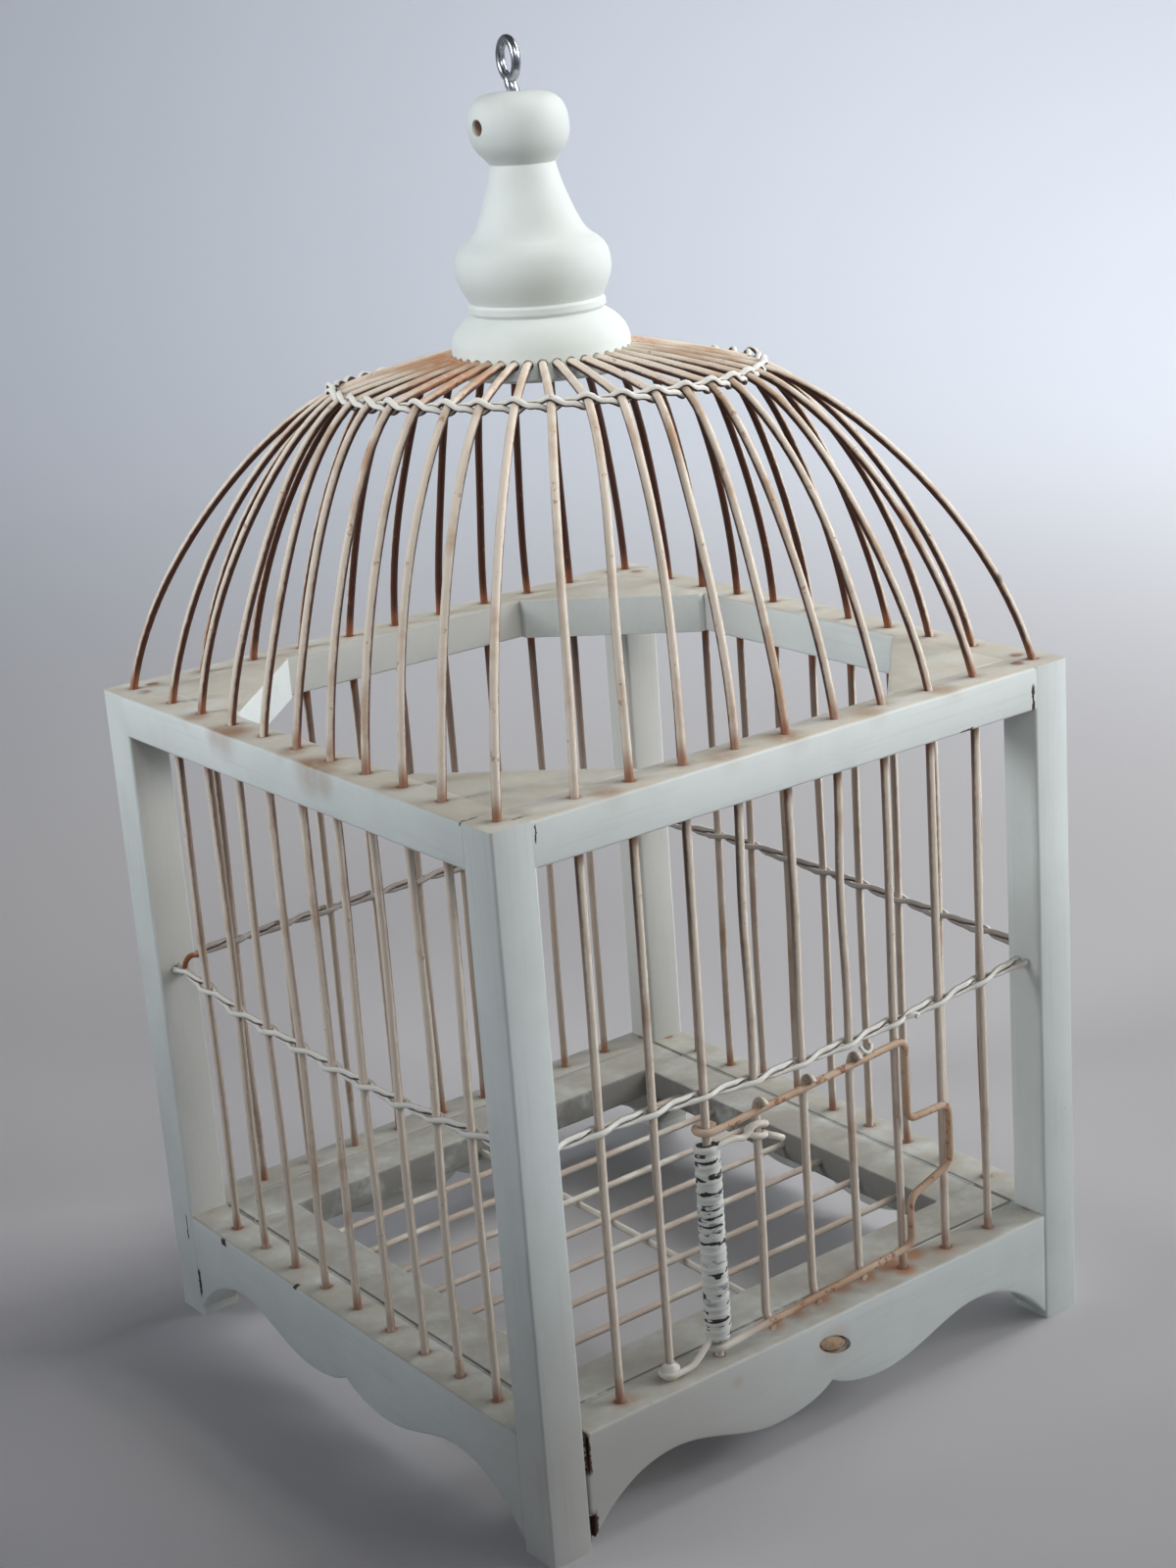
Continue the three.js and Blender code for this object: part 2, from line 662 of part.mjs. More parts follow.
for (const side of sides) {
  const group = new THREE.Group();
  group.rotation.z = side.turn;
  birdcage.add(group);
  const cornerX = side.span / 2 - timberWidth;
  const cornerY = -side.reach + timberWidth;
  const postMiddle = timberWidth / 2;
  const postPlace = new THREE.Vector3(cornerX + postMiddle, cornerY - postMiddle, 0);
  piece(group, `${side.corner}_post`, post(), paintedWood(), postPlace);
  const blockPlace = new THREE.Vector3(cornerX - seatGap, cornerY + seatGap, frameHeight - railHeight);
  piece(group, `${side.corner}_block`, cornerBlock(), paintedWood(), blockPlace);
  const railPlace = new THREE.Vector3(0, cornerY - postMiddle, frameHeight - railHeight / 2);
  piece(group, `${side.name}_top_rail`, topRail(side), paintedWood(), railPlace);
  piece(group, `${side.name}_apron`, apron(side), paintedWood(), new THREE.Vector3(0, cornerY, 0));
  const boardPlace = new THREE.Vector3(0, -boardInnerFace(side.reach) - floorBoardWidth / 2, floorWireHeight);
  piece(group, `${side.name}_floor_board`, floorBoard(side), paintedWood(), boardPlace);
  piece(group, `${side.name}_bars`, sideBars(side), paintedIron());
  piece(group, `${side.name}_dome_wires`, domeWires(side), paintedIron());
}

piece(birdcage, "floor_grid", floorGrid(), paintedIron());
piece(birdcage, "finial", finial(), paintedWood());
const eyePlace = new THREE.Vector3(0, 0, finialBottom + finialHeight);
piece(birdcage, "screw_eye", screwEye(), zincPlate(), eyePlace).rotation.z = eyeTurn;
piece(birdcage, "hinge_wire", bar(hingeBar, door), paintedIron());
piece(birdcage, "door_frame", doorFrame(), rustedIron());
for (let index = hingeBar + 1; index < latchBar; index += 1) {
  piece(birdcage, `door_bar_${index - hingeBar}`, doorBar(index), paintedIron());
}
piece(birdcage, "door_spring", doorSpring(), paintedIron());

export default birdcage;
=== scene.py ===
import json
import math
import random

import bpy
from mathutils import Matrix, Vector


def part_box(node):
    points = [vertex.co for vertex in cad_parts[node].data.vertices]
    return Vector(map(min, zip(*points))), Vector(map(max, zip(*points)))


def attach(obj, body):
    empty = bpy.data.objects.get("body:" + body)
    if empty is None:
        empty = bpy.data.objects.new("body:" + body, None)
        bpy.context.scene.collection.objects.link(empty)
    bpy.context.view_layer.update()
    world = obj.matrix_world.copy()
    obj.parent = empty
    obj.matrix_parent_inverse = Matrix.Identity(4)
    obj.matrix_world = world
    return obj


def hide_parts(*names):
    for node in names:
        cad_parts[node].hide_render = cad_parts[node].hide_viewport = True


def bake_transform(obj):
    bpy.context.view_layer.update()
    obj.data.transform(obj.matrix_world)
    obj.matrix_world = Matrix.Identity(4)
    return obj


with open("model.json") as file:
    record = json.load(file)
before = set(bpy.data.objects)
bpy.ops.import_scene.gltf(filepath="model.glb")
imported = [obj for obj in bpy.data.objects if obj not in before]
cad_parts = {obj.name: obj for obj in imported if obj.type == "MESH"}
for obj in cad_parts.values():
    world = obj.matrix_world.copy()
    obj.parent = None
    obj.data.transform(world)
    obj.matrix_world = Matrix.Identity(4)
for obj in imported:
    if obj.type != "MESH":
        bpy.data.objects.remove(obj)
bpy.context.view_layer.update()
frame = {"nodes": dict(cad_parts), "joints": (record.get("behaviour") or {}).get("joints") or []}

mm = 0.001
random.seed(11)
print("frame loaded")

# Sizes that the frame gives
postLow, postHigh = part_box("front_right_post")
railLow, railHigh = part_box("front_top_rail")
apronLow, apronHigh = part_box("front_apron")
boardLow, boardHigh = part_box("front_floor_board")
finialLow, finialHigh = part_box("finial")
eyeLow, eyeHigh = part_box("screw_eye")
hinge = Vector(frame["joints"][0]["pos_m"])
timber = postHigh.x - postLow.x
halfCage = postHigh.x
frameTop = postHigh.z
railBottom = railLow.z
apronTop = apronHigh.z
barLine = -hinge.y

# The wires, as the frame has them
wires = {
    "radius": 1.2 * mm,
    "perSide": 9,
    "seatDepth": 10 * mm,
    "domeSeatDepth": 5 * mm,
    "endGap": 0.4 * mm,
    "doorwayTail": 1.5 * mm,
    "bow": 0.45 * mm,
    "leastBow": 0.3,
    "bowWaves": (2.3, 2.1),
    "bowFade": 0.7,
    "barSteps": 22,
    "smoothAngle": 60,
}
pitch = 2 * (halfCage - timber) / (wires["perSide"] + 1)
middleBar = (wires["perSide"] - 1) / 2
hingeBar = 2
latchBar = 6
jogBar = 7

sides = [
    {"name": "front", "corner": "front_right", "turn": 0, "grain": "X"},
    {"name": "right", "corner": "back_right", "turn": math.pi / 2, "grain": "Y"},
    {"name": "back", "corner": "back_left", "turn": math.pi, "grain": "X"},
    {"name": "left", "corner": "front_left", "turn": -math.pi / 2, "grain": "Y"},
]
quarter = math.pi / 2
xAxis = Vector((1, 0, 0))
yAxis = Vector((0, 1, 0))
zAxis = Vector((0, 0, 1))


# Camera, as the photograph was taken: a long lens a little above the rails, held with a slight tilt
camera = {
    "place": Vector((-424.1, -584.8, 400.9)) * mm,
    "azimuth": math.radians(-36.14),
    "elevation": math.radians(17.64),
    "roll": math.radians(-4.25),
    "focalPixels": 2630.5,
    "imageHeight": 1600,
    "sensor": 36,
    "nearest": 10 * mm,
}


def placeCamera():
    azimuth = camera["azimuth"]
    elevation = camera["elevation"]
    back = Vector((
        math.sin(azimuth) * math.cos(elevation),
        -math.cos(azimuth) * math.cos(elevation),
        math.sin(elevation),
    ))
    level = zAxis.cross(back).normalized()
    right = Matrix.Rotation(camera["roll"], 3, back) @ level
    up = back.cross(right)
    bpy.ops.object.camera_add()
    view = bpy.context.object
    view.name = "photoCamera"
    view.matrix_world = Matrix.Translation(camera["place"]) @ Matrix((right, up, back)).transposed().to_4x4()
    view.data.sensor_fit = "AUTO"
    view.data.sensor_width = camera["sensor"]
    view.data.lens = camera["sensor"] * camera["focalPixels"] / camera["imageHeight"]
    view.data.clip_start = camera["nearest"]
    bpy.context.scene.camera = view


placeCamera()
print("camera placed")


# Working habits shared by all pieces

def selectOnly(*pieces):
    bpy.ops.object.select_all(action="DESELECT")
    for piece in pieces:
        piece.select_set(True)
    bpy.context.view_layer.objects.active = pieces[0]


def applyPlace(piece):
    selectOnly(piece)
    bpy.ops.object.transform_apply(location=True, rotation=True, scale=True)


def modify(piece, kind, **settings):
    selectOnly(piece)
    modifier = piece.modifiers.new(kind.lower(), kind)
    for name, value in settings.items():
        setattr(modifier, name, value)
    bpy.ops.object.modifier_apply(modifier=modifier.name)


def joinPieces(name, pieces):
    selectOnly(*pieces)
    if len(pieces) > 1:
        bpy.ops.object.join()
    joined = bpy.context.object
    joined.name = name
    return joined


def finishPiece(piece, name, material, body="cage", nodes=(), smoothAngle=38):
    piece.name = name
    piece.data.name = name
    piece.data.materials.clear()
    piece.data.materials.append(material)
    selectOnly(piece)
    bpy.ops.object.shade_smooth_by_angle(angle=math.radians(smoothAngle))
    if nodes:
        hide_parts(*nodes)
    if body:
        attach(piece, body)
    return piece


def finishWire(piece, name, material, nodes=(), body="cage"):
    return finishPiece(piece, name, material, body, nodes, wires["smoothAngle"])


# Runs each mesh tool on the whole of a piece
def reshape(piece, *tools):
    selectOnly(piece)
    bpy.ops.object.mode_set(mode="EDIT")
    for tool, settings in tools:
        bpy.ops.mesh.select_all(action="SELECT")
        tool(**settings)
    bpy.ops.object.mode_set(mode="OBJECT")


def turned(point, turn):
    return Matrix.Rotation(turn, 3, "Z") @ Vector(point)


def barX(index):
    return (index - middleBar) * pitch


def barPlace(index, turn=0, height=0):
    return turned((barX(index), -barLine, height), turn)


# Materials

def linear(hexColour):
    channels = [int(hexColour[i:i + 2], 16) / 255 for i in (1, 3, 5)]
    return tuple(c / 12.92 if c <= 0.04045 else ((c + 0.055) / 1.055) ** 2.4 for c in channels) + (1,)


# Adds a node with its settings, and with its inputs in order or by name
def addNode(tree, kind, inputs=(), output=0, **settings):
    node = tree.nodes.new("ShaderNode" + kind)
    for name, value in settings.items():
        setattr(node, name, value)
    for socket, value in inputs.items() if isinstance(inputs, dict) else enumerate(inputs):
        if isinstance(value, bpy.types.NodeSocket):
            tree.links.new(value, node.inputs[socket])
        else:
            node.inputs[socket].default_value = value
    return node.outputs[output]


def startMaterial(name, **fixed):
    material = bpy.data.materials.new(name)
    material.use_nodes = True
    tree = material.node_tree
    shader = tree.nodes["Principled BSDF"]
    for socket, value in fixed.items():
        shader.inputs[socket.replace("_", " ")].default_value = value
    place = addNode(tree, "TexCoord", output="Object")
    return material, tree, shader, place


# Gives the shader its colour, a relief of some strength and real depth, and a roughness between two limits
def finishMaterial(tree, shader, colour, height, relief, rough=None, limits=(0, 1)):
    strength, depth = relief
    bump = addNode(tree, "Bump", {"Height": height, "Strength": strength, "Distance": depth})
    tree.links.new(colour, shader.inputs["Base Color"])
    tree.links.new(bump, shader.inputs["Normal"])
    if rough is not None:
        tree.links.new(addNode(tree, "MapRange", (rough, 0, 1, *limits)), shader.inputs["Roughness"])


# Where all shares meet. A share is a number, an output, or an output with its values for none and for full
def meeting(tree, *shares):
    total = None
    for share in shares:
        if isinstance(share, tuple):
            share = addNode(tree, "MapRange", share, interpolation_type="SMOOTHSTEP")
        if total is not None:
            share = addNode(tree, "Math", (total, share), operation="MULTIPLY", use_clamp=True)
        total = share
    return total


# Lays coats over a colour, one by one. A coat is its colour and its shares, and covers where all of them meet
def layCoats(tree, colour, coats):
    for over, *shares in coats:
        share = meeting(tree, *shares)
        colour, over = (linear(tint) if isinstance(tint, str) else tint for tint in (colour, over))
        colour = addNode(tree, "MixRGB", (share, colour, over))
    return colour


# The share of a spot's reach within which it is full
spotCore = 0.15


def spotShare(tree, place, spots):
    total = 0
    for middle, reach, strength in spots:
        away = addNode(tree, "VectorMath", (place, Vector(middle) * mm), 1, operation="DISTANCE")
        share = meeting(tree, (away, reach * mm, reach * mm * spotCore), strength)
        total = addNode(tree, "Math", (total, share), operation="MAXIMUM")
    return total


# How near a place is to the foot of the closest wire, where rust and dust gather on the wood and painted
# shade lies
def nearWireFoot(tree, place, reach):
    along = []
    out = []
    for value in addNode(tree, "SeparateXYZ", (place,), slice(2)):
        along.append(addNode(tree, "Math", (value, pitch / 2), operation="PINGPONG"))
        away = addNode(tree, "Math", (value,), operation="ABSOLUTE")
        out.append(addNode(tree, "Math", (away, barLine), operation="SUBTRACT"))
    nearest = reach
    for offset in ((along[0], out[1]), (along[1], out[0]), out):
        offset = addNode(tree, "CombineXYZ", offset)
        length = addNode(tree, "VectorMath", (offset,), 1, operation="LENGTH")
        nearest = addNode(tree, "Math", (nearest, length), operation="MINIMUM")
    return meeting(tree, (nearest, reach, wires["radius"]))


# Rust bled out of the wires at places of its own: middle, reach and strength
bleeds = [
    ((-97, 28.6, 204), 10, 1.0),
    ((-99, 33, 203), 7, 0.9),
    ((-98.5, -17, 203.5), 11, 1.0),
    ((-99.5, -24, 202), 7, 0.9),
    ((-96, -2, 205), 6, 0.7),
    ((-96, 50, 205), 6, 0.7),
    ((-95, -50, 205), 6, 0.6),
    ((-14, -91, 35), 6, 0.9),
    ((-5, -90.5, 35), 6, 0.8),
    ((5, -90, 35), 6, 0.9),
    ((14, -89.5, 35), 6, 0.8),
    ((23, -89, 35), 7, 1.0),
    ((33, -89, 35), 8, 1.0),
    ((42, -89, 35), 7, 0.9),
    ((34, -94.5, 35), 5.5, 1.0),
    ((50, -94, 35), 6, 0.5),
    ((-34.4, -100, 29.1), 3, 0.45),
    ((1.4, -100, 26.1), 9, 0.5),
    ((-69, -94, 35), 6, 0.5),
    ((-62, -96, 205), 7, 0.6),
    ((-24, -96, 205), 7, 0.6),
    ((-2, -95, 205), 8, 0.8),
    ((27, -96, 205), 7, 0.6),
    ((55, -96, 205), 7, 0.6),
]
# Cracks, chips and dirt at places of their own: middle, half size
marks = [
    ((-86, -99, 28.8), (0.85, 3, 6.4)),
    ((-85.6, -99, 6.2), (1.1, 3, 5.6)),
    ((-99, 86.6, 12), (3, 0.9, 5)),
    ((-100, 66.8, 33.6), (2, 1.5, 1.2)),
    ((-100, 24.6, 34.6), (2, 1.0, 0.7)),
    ((-100, 90.6, 30), (2, 0.35, 4.4)),
    ((86.2, -100, 196), (0.5, 2, 4)),
    ((-86.8, -100, 201.6), (0.3, 2, 2.6)),
    ((-97.4, -87, 205), (3.2, 0.35, 1)),
    ((-88.8, -95.6, 205), (1.6, 0.3, 1)),
    ((60, -100, 192.7), (2.5, 2, 0.5)),
]
# Painted shade low on the front, by its left post, where the light falls off: middle, reach and strength
paintedShadeAt = [((-70, -125, 15), 105, 0.6)]

# Pine under two coats of brushed matt paint: a cool greenish white on the sides, greyer with dust where it
# faces up, with faint brush ridges along the grain, and rust bled out of the wire holes. Pairs of lengths are
# those where a share is none and where it is full.
paint = {
    "white": "#dde3df",
    "whiteThin": "#d2d8d3",
    "dust": "#c2b7a2",
    "dustLow": "#a59d8c",
    # dust on the boards inside the frame, darker with painted shade
    "dustShadedInside": "#989080",
    # grime, also laid as painted shade
    "grimeAndShade": "#9b9185",
    "rust": "#8a5236",
    "bleed": "#aa7a58",
    "bleedHigh": "#9d7f66",
    # painted shade for the gap between aprons and floor boards
    "seamShade": "#4f463e",
    "bareWood": "#4a342a",
    "shade": "#6f6a62",
    "ridge": 1.3 * mm,      # real bristle ridges are finer: drawn as coarse as the render shows
    "ridgeLength": 45 * mm,
    "ridges": {"Scale": 1, "Detail": 3, "Roughness": 0.55},
    "patches": {"Scale": 1 / (55 * mm), "Detail": 5, "Roughness": 0.6},
    "blotches": {"Scale": 1 / (16 * mm), "Detail": 5, "Roughness": 0.65},
    "wander": {"Scale": 1 / (5 * mm), "Detail": 4, "Roughness": 0.6},
    "specks": {"Scale": 1 / (3.5 * mm), "Detail": 3, "Roughness": 0.7},
    "rustPatches": {"Scale": 1 / (20 * mm), "Detail": 2, "Roughness": 0.6},
    "shake": {"Scale": 1 / (1.5 * mm), "Detail": 3},
    "shakeReach": 1.6 * mm,
    "relief": (0.3, 0.12 * mm),
    "dustShare": 0.8,
    "innerShare": 0.45,
    "aboveBoards": 2 * mm,
    "indoors": 4 * mm,
    "openingShadeEdge": (0.6 * mm, 0.2 * mm),
    "seamInset": 0.3 * mm,
    "seamHalf": (1.1 * mm, 0.5 * mm),
    "innerEdge": (0.8 * mm, 0.3 * mm),
    "footReach": 5 * mm,
    "rustReach": 2.5 * mm,
    "underDoor": (1.7 * pitch, 1.5 * pitch),
    "boreEdge": (0.6 * mm, 0.2 * mm),
    "boreRim": (0.4 * mm, 1 * mm),
}
floorReach = -boardHigh.y


def markShare(tree, place):
    wander = addNode(tree, "TexNoise", {"Vector": place, **paint["shake"]}, 1)
    shaken = addNode(tree, "VectorMath", (wander, (0.5, 0.5, 0.5)), operation="SUBTRACT")
    shaken = addNode(tree, "VectorMath", (shaken, [paint["shakeReach"]] * 3), operation="MULTIPLY")
    moved = addNode(tree, "VectorMath", (place, shaken), operation="ADD")
    total = 0
    for middle, half in marks:
        offset = addNode(tree, "VectorMath", (moved, Vector(middle) * mm), operation="SUBTRACT")
        scale = [1 / (extent * mm) for extent in half]
        offset = addNode(tree, "VectorMath", (offset, scale), operation="MULTIPLY")
        sizes = addNode(tree, "VectorMath", (offset,), operation="ABSOLUTE")
        farthest = 0
        for size in addNode(tree, "SeparateXYZ", (sizes,), slice(3)):
            farthest = addNode(tree, "Math", (farthest, size), operation="MAXIMUM")
        share = meeting(tree, (farthest, 1.15, 0.7))
        total = addNode(tree, "Math", (total, share), operation="MAXIMUM")
    return total


# What wear depends on: how far out, how high and how far back a place is, and how far it faces up
def readPlace(tree, place):
    x, y, z = addNode(tree, "SeparateXYZ", (place,), slice(3))
    outX, outY = (addNode(tree, "Math", (value,), operation="ABSOLUTE") for value in (x, y))
    normal = addNode(tree, "NewGeometry", output=1)
    facing = addNode(tree, "SeparateXYZ", (normal,), 2)
    return {
        "place": place,
        "y": y,
        "outX": outX,
        "out": addNode(tree, "Math", (outX, outY), operation="MAXIMUM"),
        "low": meeting(tree, (z, apronTop + paint["aboveBoards"], apronTop)),
        "high": meeting(tree, (z, 2 * apronTop, 3 * apronTop)),
        "normal": normal,
        "upward": meeting(tree, (facing, 0.35, 0.95)),
    }


# Dust on what faces up, painted shade on the faces round the floor opening, and painted shade in the gap
# between aprons and floor boards
def dustAndShadeCoats(tree, at):
    blotches = addNode(tree, "TexNoise", {"Vector": at["place"], **paint["blotches"]})
    boardEdge = -apronHigh.y
    indoors = (at["out"], boardEdge, boardEdge - paint["indoors"])
    # dust is darker low down, and darker still, as painted shade, on the boards inside the frame
    dust = layCoats(tree, paint["dustLow"], [(paint["dustShadedInside"], indoors), (paint["dust"], at["high"])])
    inside = (at["out"], *(floorReach + edge for edge in paint["openingShadeEdge"]))
    seamShade = addNode(tree, "Math", (at["out"], boardEdge - paint["seamInset"]), operation="SUBTRACT")
    seamShade = addNode(tree, "Math", (seamShade,), operation="ABSOLUTE")
    return [
        (dust, at["upward"], (blotches, 0, 0.65), paint["dustShare"]),
        # painted shade on the faces round the floor opening
        (paint["shade"], inside, at["low"], (blotches, 0.15, 0.5), 0.85),
        # painted shade in the gap between aprons and floor boards
        (paint["seamShade"], (seamShade, *paint["seamHalf"]), at["low"], at["upward"], (blotches, 0.25, 0.42), 0.85),
    ]


# Darker on the inner faces of posts and rails at the back, and painted shade low on the front by its left
# post
def darkeningCoats(tree, at):
    flat = addNode(tree, "VectorMath", (at["place"], (1, 1, 0)), operation="MULTIPLY")
    flat = addNode(tree, "VectorMath", (flat,), operation="NORMALIZE")
    inward = addNode(tree, "VectorMath", (flat, at["normal"]), 1, operation="DOT_PRODUCT")
    onFrame = (at["out"], *(halfCage - timber - edge for edge in paint["innerEdge"]))
    atBack = (at["y"], 0, halfCage / 2)
    return [
        # darker on the inner faces of posts and rails at the back
        (paint["grimeAndShade"], (inward, -0.3, -0.6), onFrame, atBack, paint["innerShare"]),
        # painted shade low on the front by the left post, on faces that do not face up
        (paint["grimeAndShade"], spotShare(tree, at["place"], paintedShadeAt), (at["upward"], 1, 0)),
    ]


# Grime with painted shade, and rust, round the feet of the wires, and rust that bled. The door's bars stand
# in no holes
def rustCoats(tree, at, wander):
    place, upward = at["place"], at["upward"]
    patches = addNode(tree, "TexNoise", {"Vector": place, **paint["rustPatches"]})
    underDoor = meeting(tree, (at["outX"], *paint["underDoor"]), at["low"], (at["y"], 0, -barLine / 2))
    seated = addNode(tree, "Math", (1, underDoor), operation="SUBTRACT")
    foot = nearWireFoot(tree, place, paint["footReach"])
    core = nearWireFoot(tree, place, paint["rustReach"])
    bleed = layCoats(tree, paint["bleed"], [(paint["bleedHigh"], at["high"])])
    runDown = addNode(tree, "MapRange", (upward, 0, 1, 0.45, 1))
    return [
        # grime and painted shade round the feet of the wires
        (paint["grimeAndShade"], foot, upward, (wander, 0.3, 0.6), 0.5),
        (bleed, spotShare(tree, place, bleeds), (wander, 0.12, 0.52), runDown),
        (paint["rust"], core, upward, (patches, 0.35, 0.55), seated, 0.8),
    ]


# Bare wood in the cross hole of the finial
def boreShare(tree, place, bore):
    away = addNode(tree, "VectorMath", (place, bore["middle"]), 1, operation="DISTANCE")
    offset = addNode(tree, "VectorMath", (place, bore["middle"]), operation="SUBTRACT")
    offset = addNode(tree, "VectorMath", (offset, (0, 1, 1)), operation="MULTIPLY")
    length = addNode(tree, "VectorMath", (offset,), 1, operation="LENGTH")
    within = (away, *(bore["reach"] - edge for edge in paint["boreRim"]))
    return meeting(tree, within, (length, *(bore["radius"] + edge for edge in paint["boreEdge"])))


def paintedPine(name, grain="Z", bore=None):
    material, tree, shader, place = startMaterial(name, IOR=1.46, Specular_IOR_Level=0.35)
    stretch = [1 / paint["ridge"]] * 3
    stretch["XYZ".index(grain)] = 1 / paint["ridgeLength"]
    brushed = addNode(tree, "Mapping", {"Vector": place, "Scale": stretch})
    ridges = addNode(tree, "TexNoise", {"Vector": brushed, **paint["ridges"]})
    patches = addNode(tree, "TexNoise", {"Vector": place, **paint["patches"]})
    wander = addNode(tree, "TexNoise", {"Vector": place, **paint["wander"]})
    specks = addNode(tree, "TexNoise", {"Vector": place, **paint["specks"]})
    speckShare = (specks, 0.745, 0.775)
    coats = [(paint["whiteThin"], (patches, 0.35, 0.7))]
    if bore:
        coats += [(paint["grimeAndShade"], speckShare, 0.3), (bore["colour"], boreShare(tree, place, bore))]
    else:
        at = readPlace(tree, place)
        coats += [(paint["grimeAndShade"], (ridges, 0.5, 0.75), 0.1)]
        coats += dustAndShadeCoats(tree, at) + darkeningCoats(tree, at) + rustCoats(tree, at, wander)
        coats += [(paint["grimeAndShade"], speckShare, 0.7), (paint["bareWood"], markShare(tree, place))]
    colour = layCoats(tree, paint["white"], coats)
    height = addNode(tree, "Math", (meeting(tree, ridges, 0.1 if bore else 0.6), wander), operation="ADD")
    finishMaterial(tree, shader, colour, height, paint["relief"], patches, (0.5, 0.75))
    return material


woodAlong = {grain: paintedPine("paintedPineAlong" + grain, grain) for grain in "XYZ"}


# A resinous knot that shrank in its hole: tan in the middle, nearly black round its edge
knotWood = {
    "tan": "#b59b7e",
    "edge": "#4a2f22",
    "ring": "#8a5f42",
    "ragged": {"Scale": 1 / (3 * mm), "Detail": 3, "Roughness": 0.6},
    "rings": {"Scale": 1 / (1.2 * mm), "Detail": 3, "Roughness": 0.6},
    "relief": (0.5, 0.2 * mm),
    "shift": Vector((-0.9, 0, 0.5)) * mm,
}


def resinKnot():
    material, tree, shader, place = startMaterial("resinousKnot", Roughness=0.7, IOR=1.5)
    middle = Vector((knot["x"], apronLow.y, knot["z"])) + knotWood["shift"]
    scale = (2 / knot["length"], 0, 2 / knot["height"])
    offset = addNode(tree, "VectorMath", (place, middle), operation="SUBTRACT")
    offset = addNode(tree, "Mapping", {"Vector": offset, "Rotation": (0, -knot["turn"], 0)})
    offset = addNode(tree, "VectorMath", (offset, scale), operation="MULTIPLY")
    away = addNode(tree, "VectorMath", (offset,), 1, operation="LENGTH")
    ragged = addNode(tree, "TexNoise", {"Vector": place, **knotWood["ragged"]})
    away = addNode(tree, "Math", (away, ragged), operation="ADD")
    rings = addNode(tree, "TexNoise", {"Vector": place, **knotWood["rings"]})
    coats = [(knotWood["edge"], (away, 1.2, 1.45)), (knotWood["ring"], (rings, 0.45, 0.7), 0.6)]
    finishMaterial(tree, shader, layCoats(tree, knotWood["tan"], coats), rings, knotWood["relief"])
    return material


# Drawn iron wire, sprayed cream from outside. The paint is thin: rust shows along the unpainted inner side,
# at the feet and where the wire rubs.
wirePaint = {
    "worn": "#ba9a7e",
    "rust": "#8f5a3e",
    "orange": "#bb7f55",
    "dark": "#4c2c20",
    "white": "#dcd6c9",
    "chip": "#2e2420",
    "flakes": {"Scale": 1 / (4 * mm), "Detail": 5, "Roughness": 0.7},
    "patches": {"Scale": 1 / (26 * mm), "Detail": 4, "Roughness": 0.6},
    "relief": (0.6, 0.15 * mm),
    "footReach": (8 * mm, 1 * mm),
    "strandShadeAndDirt": (0.9 * mm, 0.55 * mm),
    "cleanLow": (90 * mm, 200 * mm),
}
# What a wire can have of its own
wireFinish = {
    "cream": "#ddd0bf",
    "wear": 0.35,
    "innerWear": 0.9,
    "roundTo": 0.72,
    "paintedFrom": "outside",
    "rustAt": (),
    "chipAt": (),
    "whiteAt": (),
    "dirtBetween": False,
}


# How far the surface faces the side from which the wire was sprayed. For the front bars that is also the side
# the light comes from, so their dark far side is rust and painted shade
def facingSprayAndLight(tree, place, up, paintedFrom):
    normal = addNode(tree, "TexCoord", output="Normal")
    if paintedFrom == "above":
        return addNode(tree, "SeparateXYZ", (normal,), 2)
    # front bars: cream towards the light, rust and painted shade on the far side
    if paintedFrom == "frontRightSprayAndLight":
        return addNode(tree, "VectorMath", (normal, (0.55, -0.83, 0)), 1, operation="DOT_PRODUCT")
    # outside means away from the middle, and upwards on the dome
    flat = addNode(tree, "VectorMath", (place, (1, 1, 0)), operation="MULTIPLY")
    lift = addNode(tree, "Math", (up, frameTop), operation="SUBTRACT")
    lift = addNode(tree, "Math", (lift, 0), operation="MAXIMUM")
    rise = addNode(tree, "CombineXYZ", (0, 0, lift))
    outward = addNode(tree, "VectorMath", (flat, rise), operation="ADD")
    outward = addNode(tree, "VectorMath", (outward,), operation="NORMALIZE")
    return addNode(tree, "VectorMath", (outward, normal), 1, operation="DOT_PRODUCT")


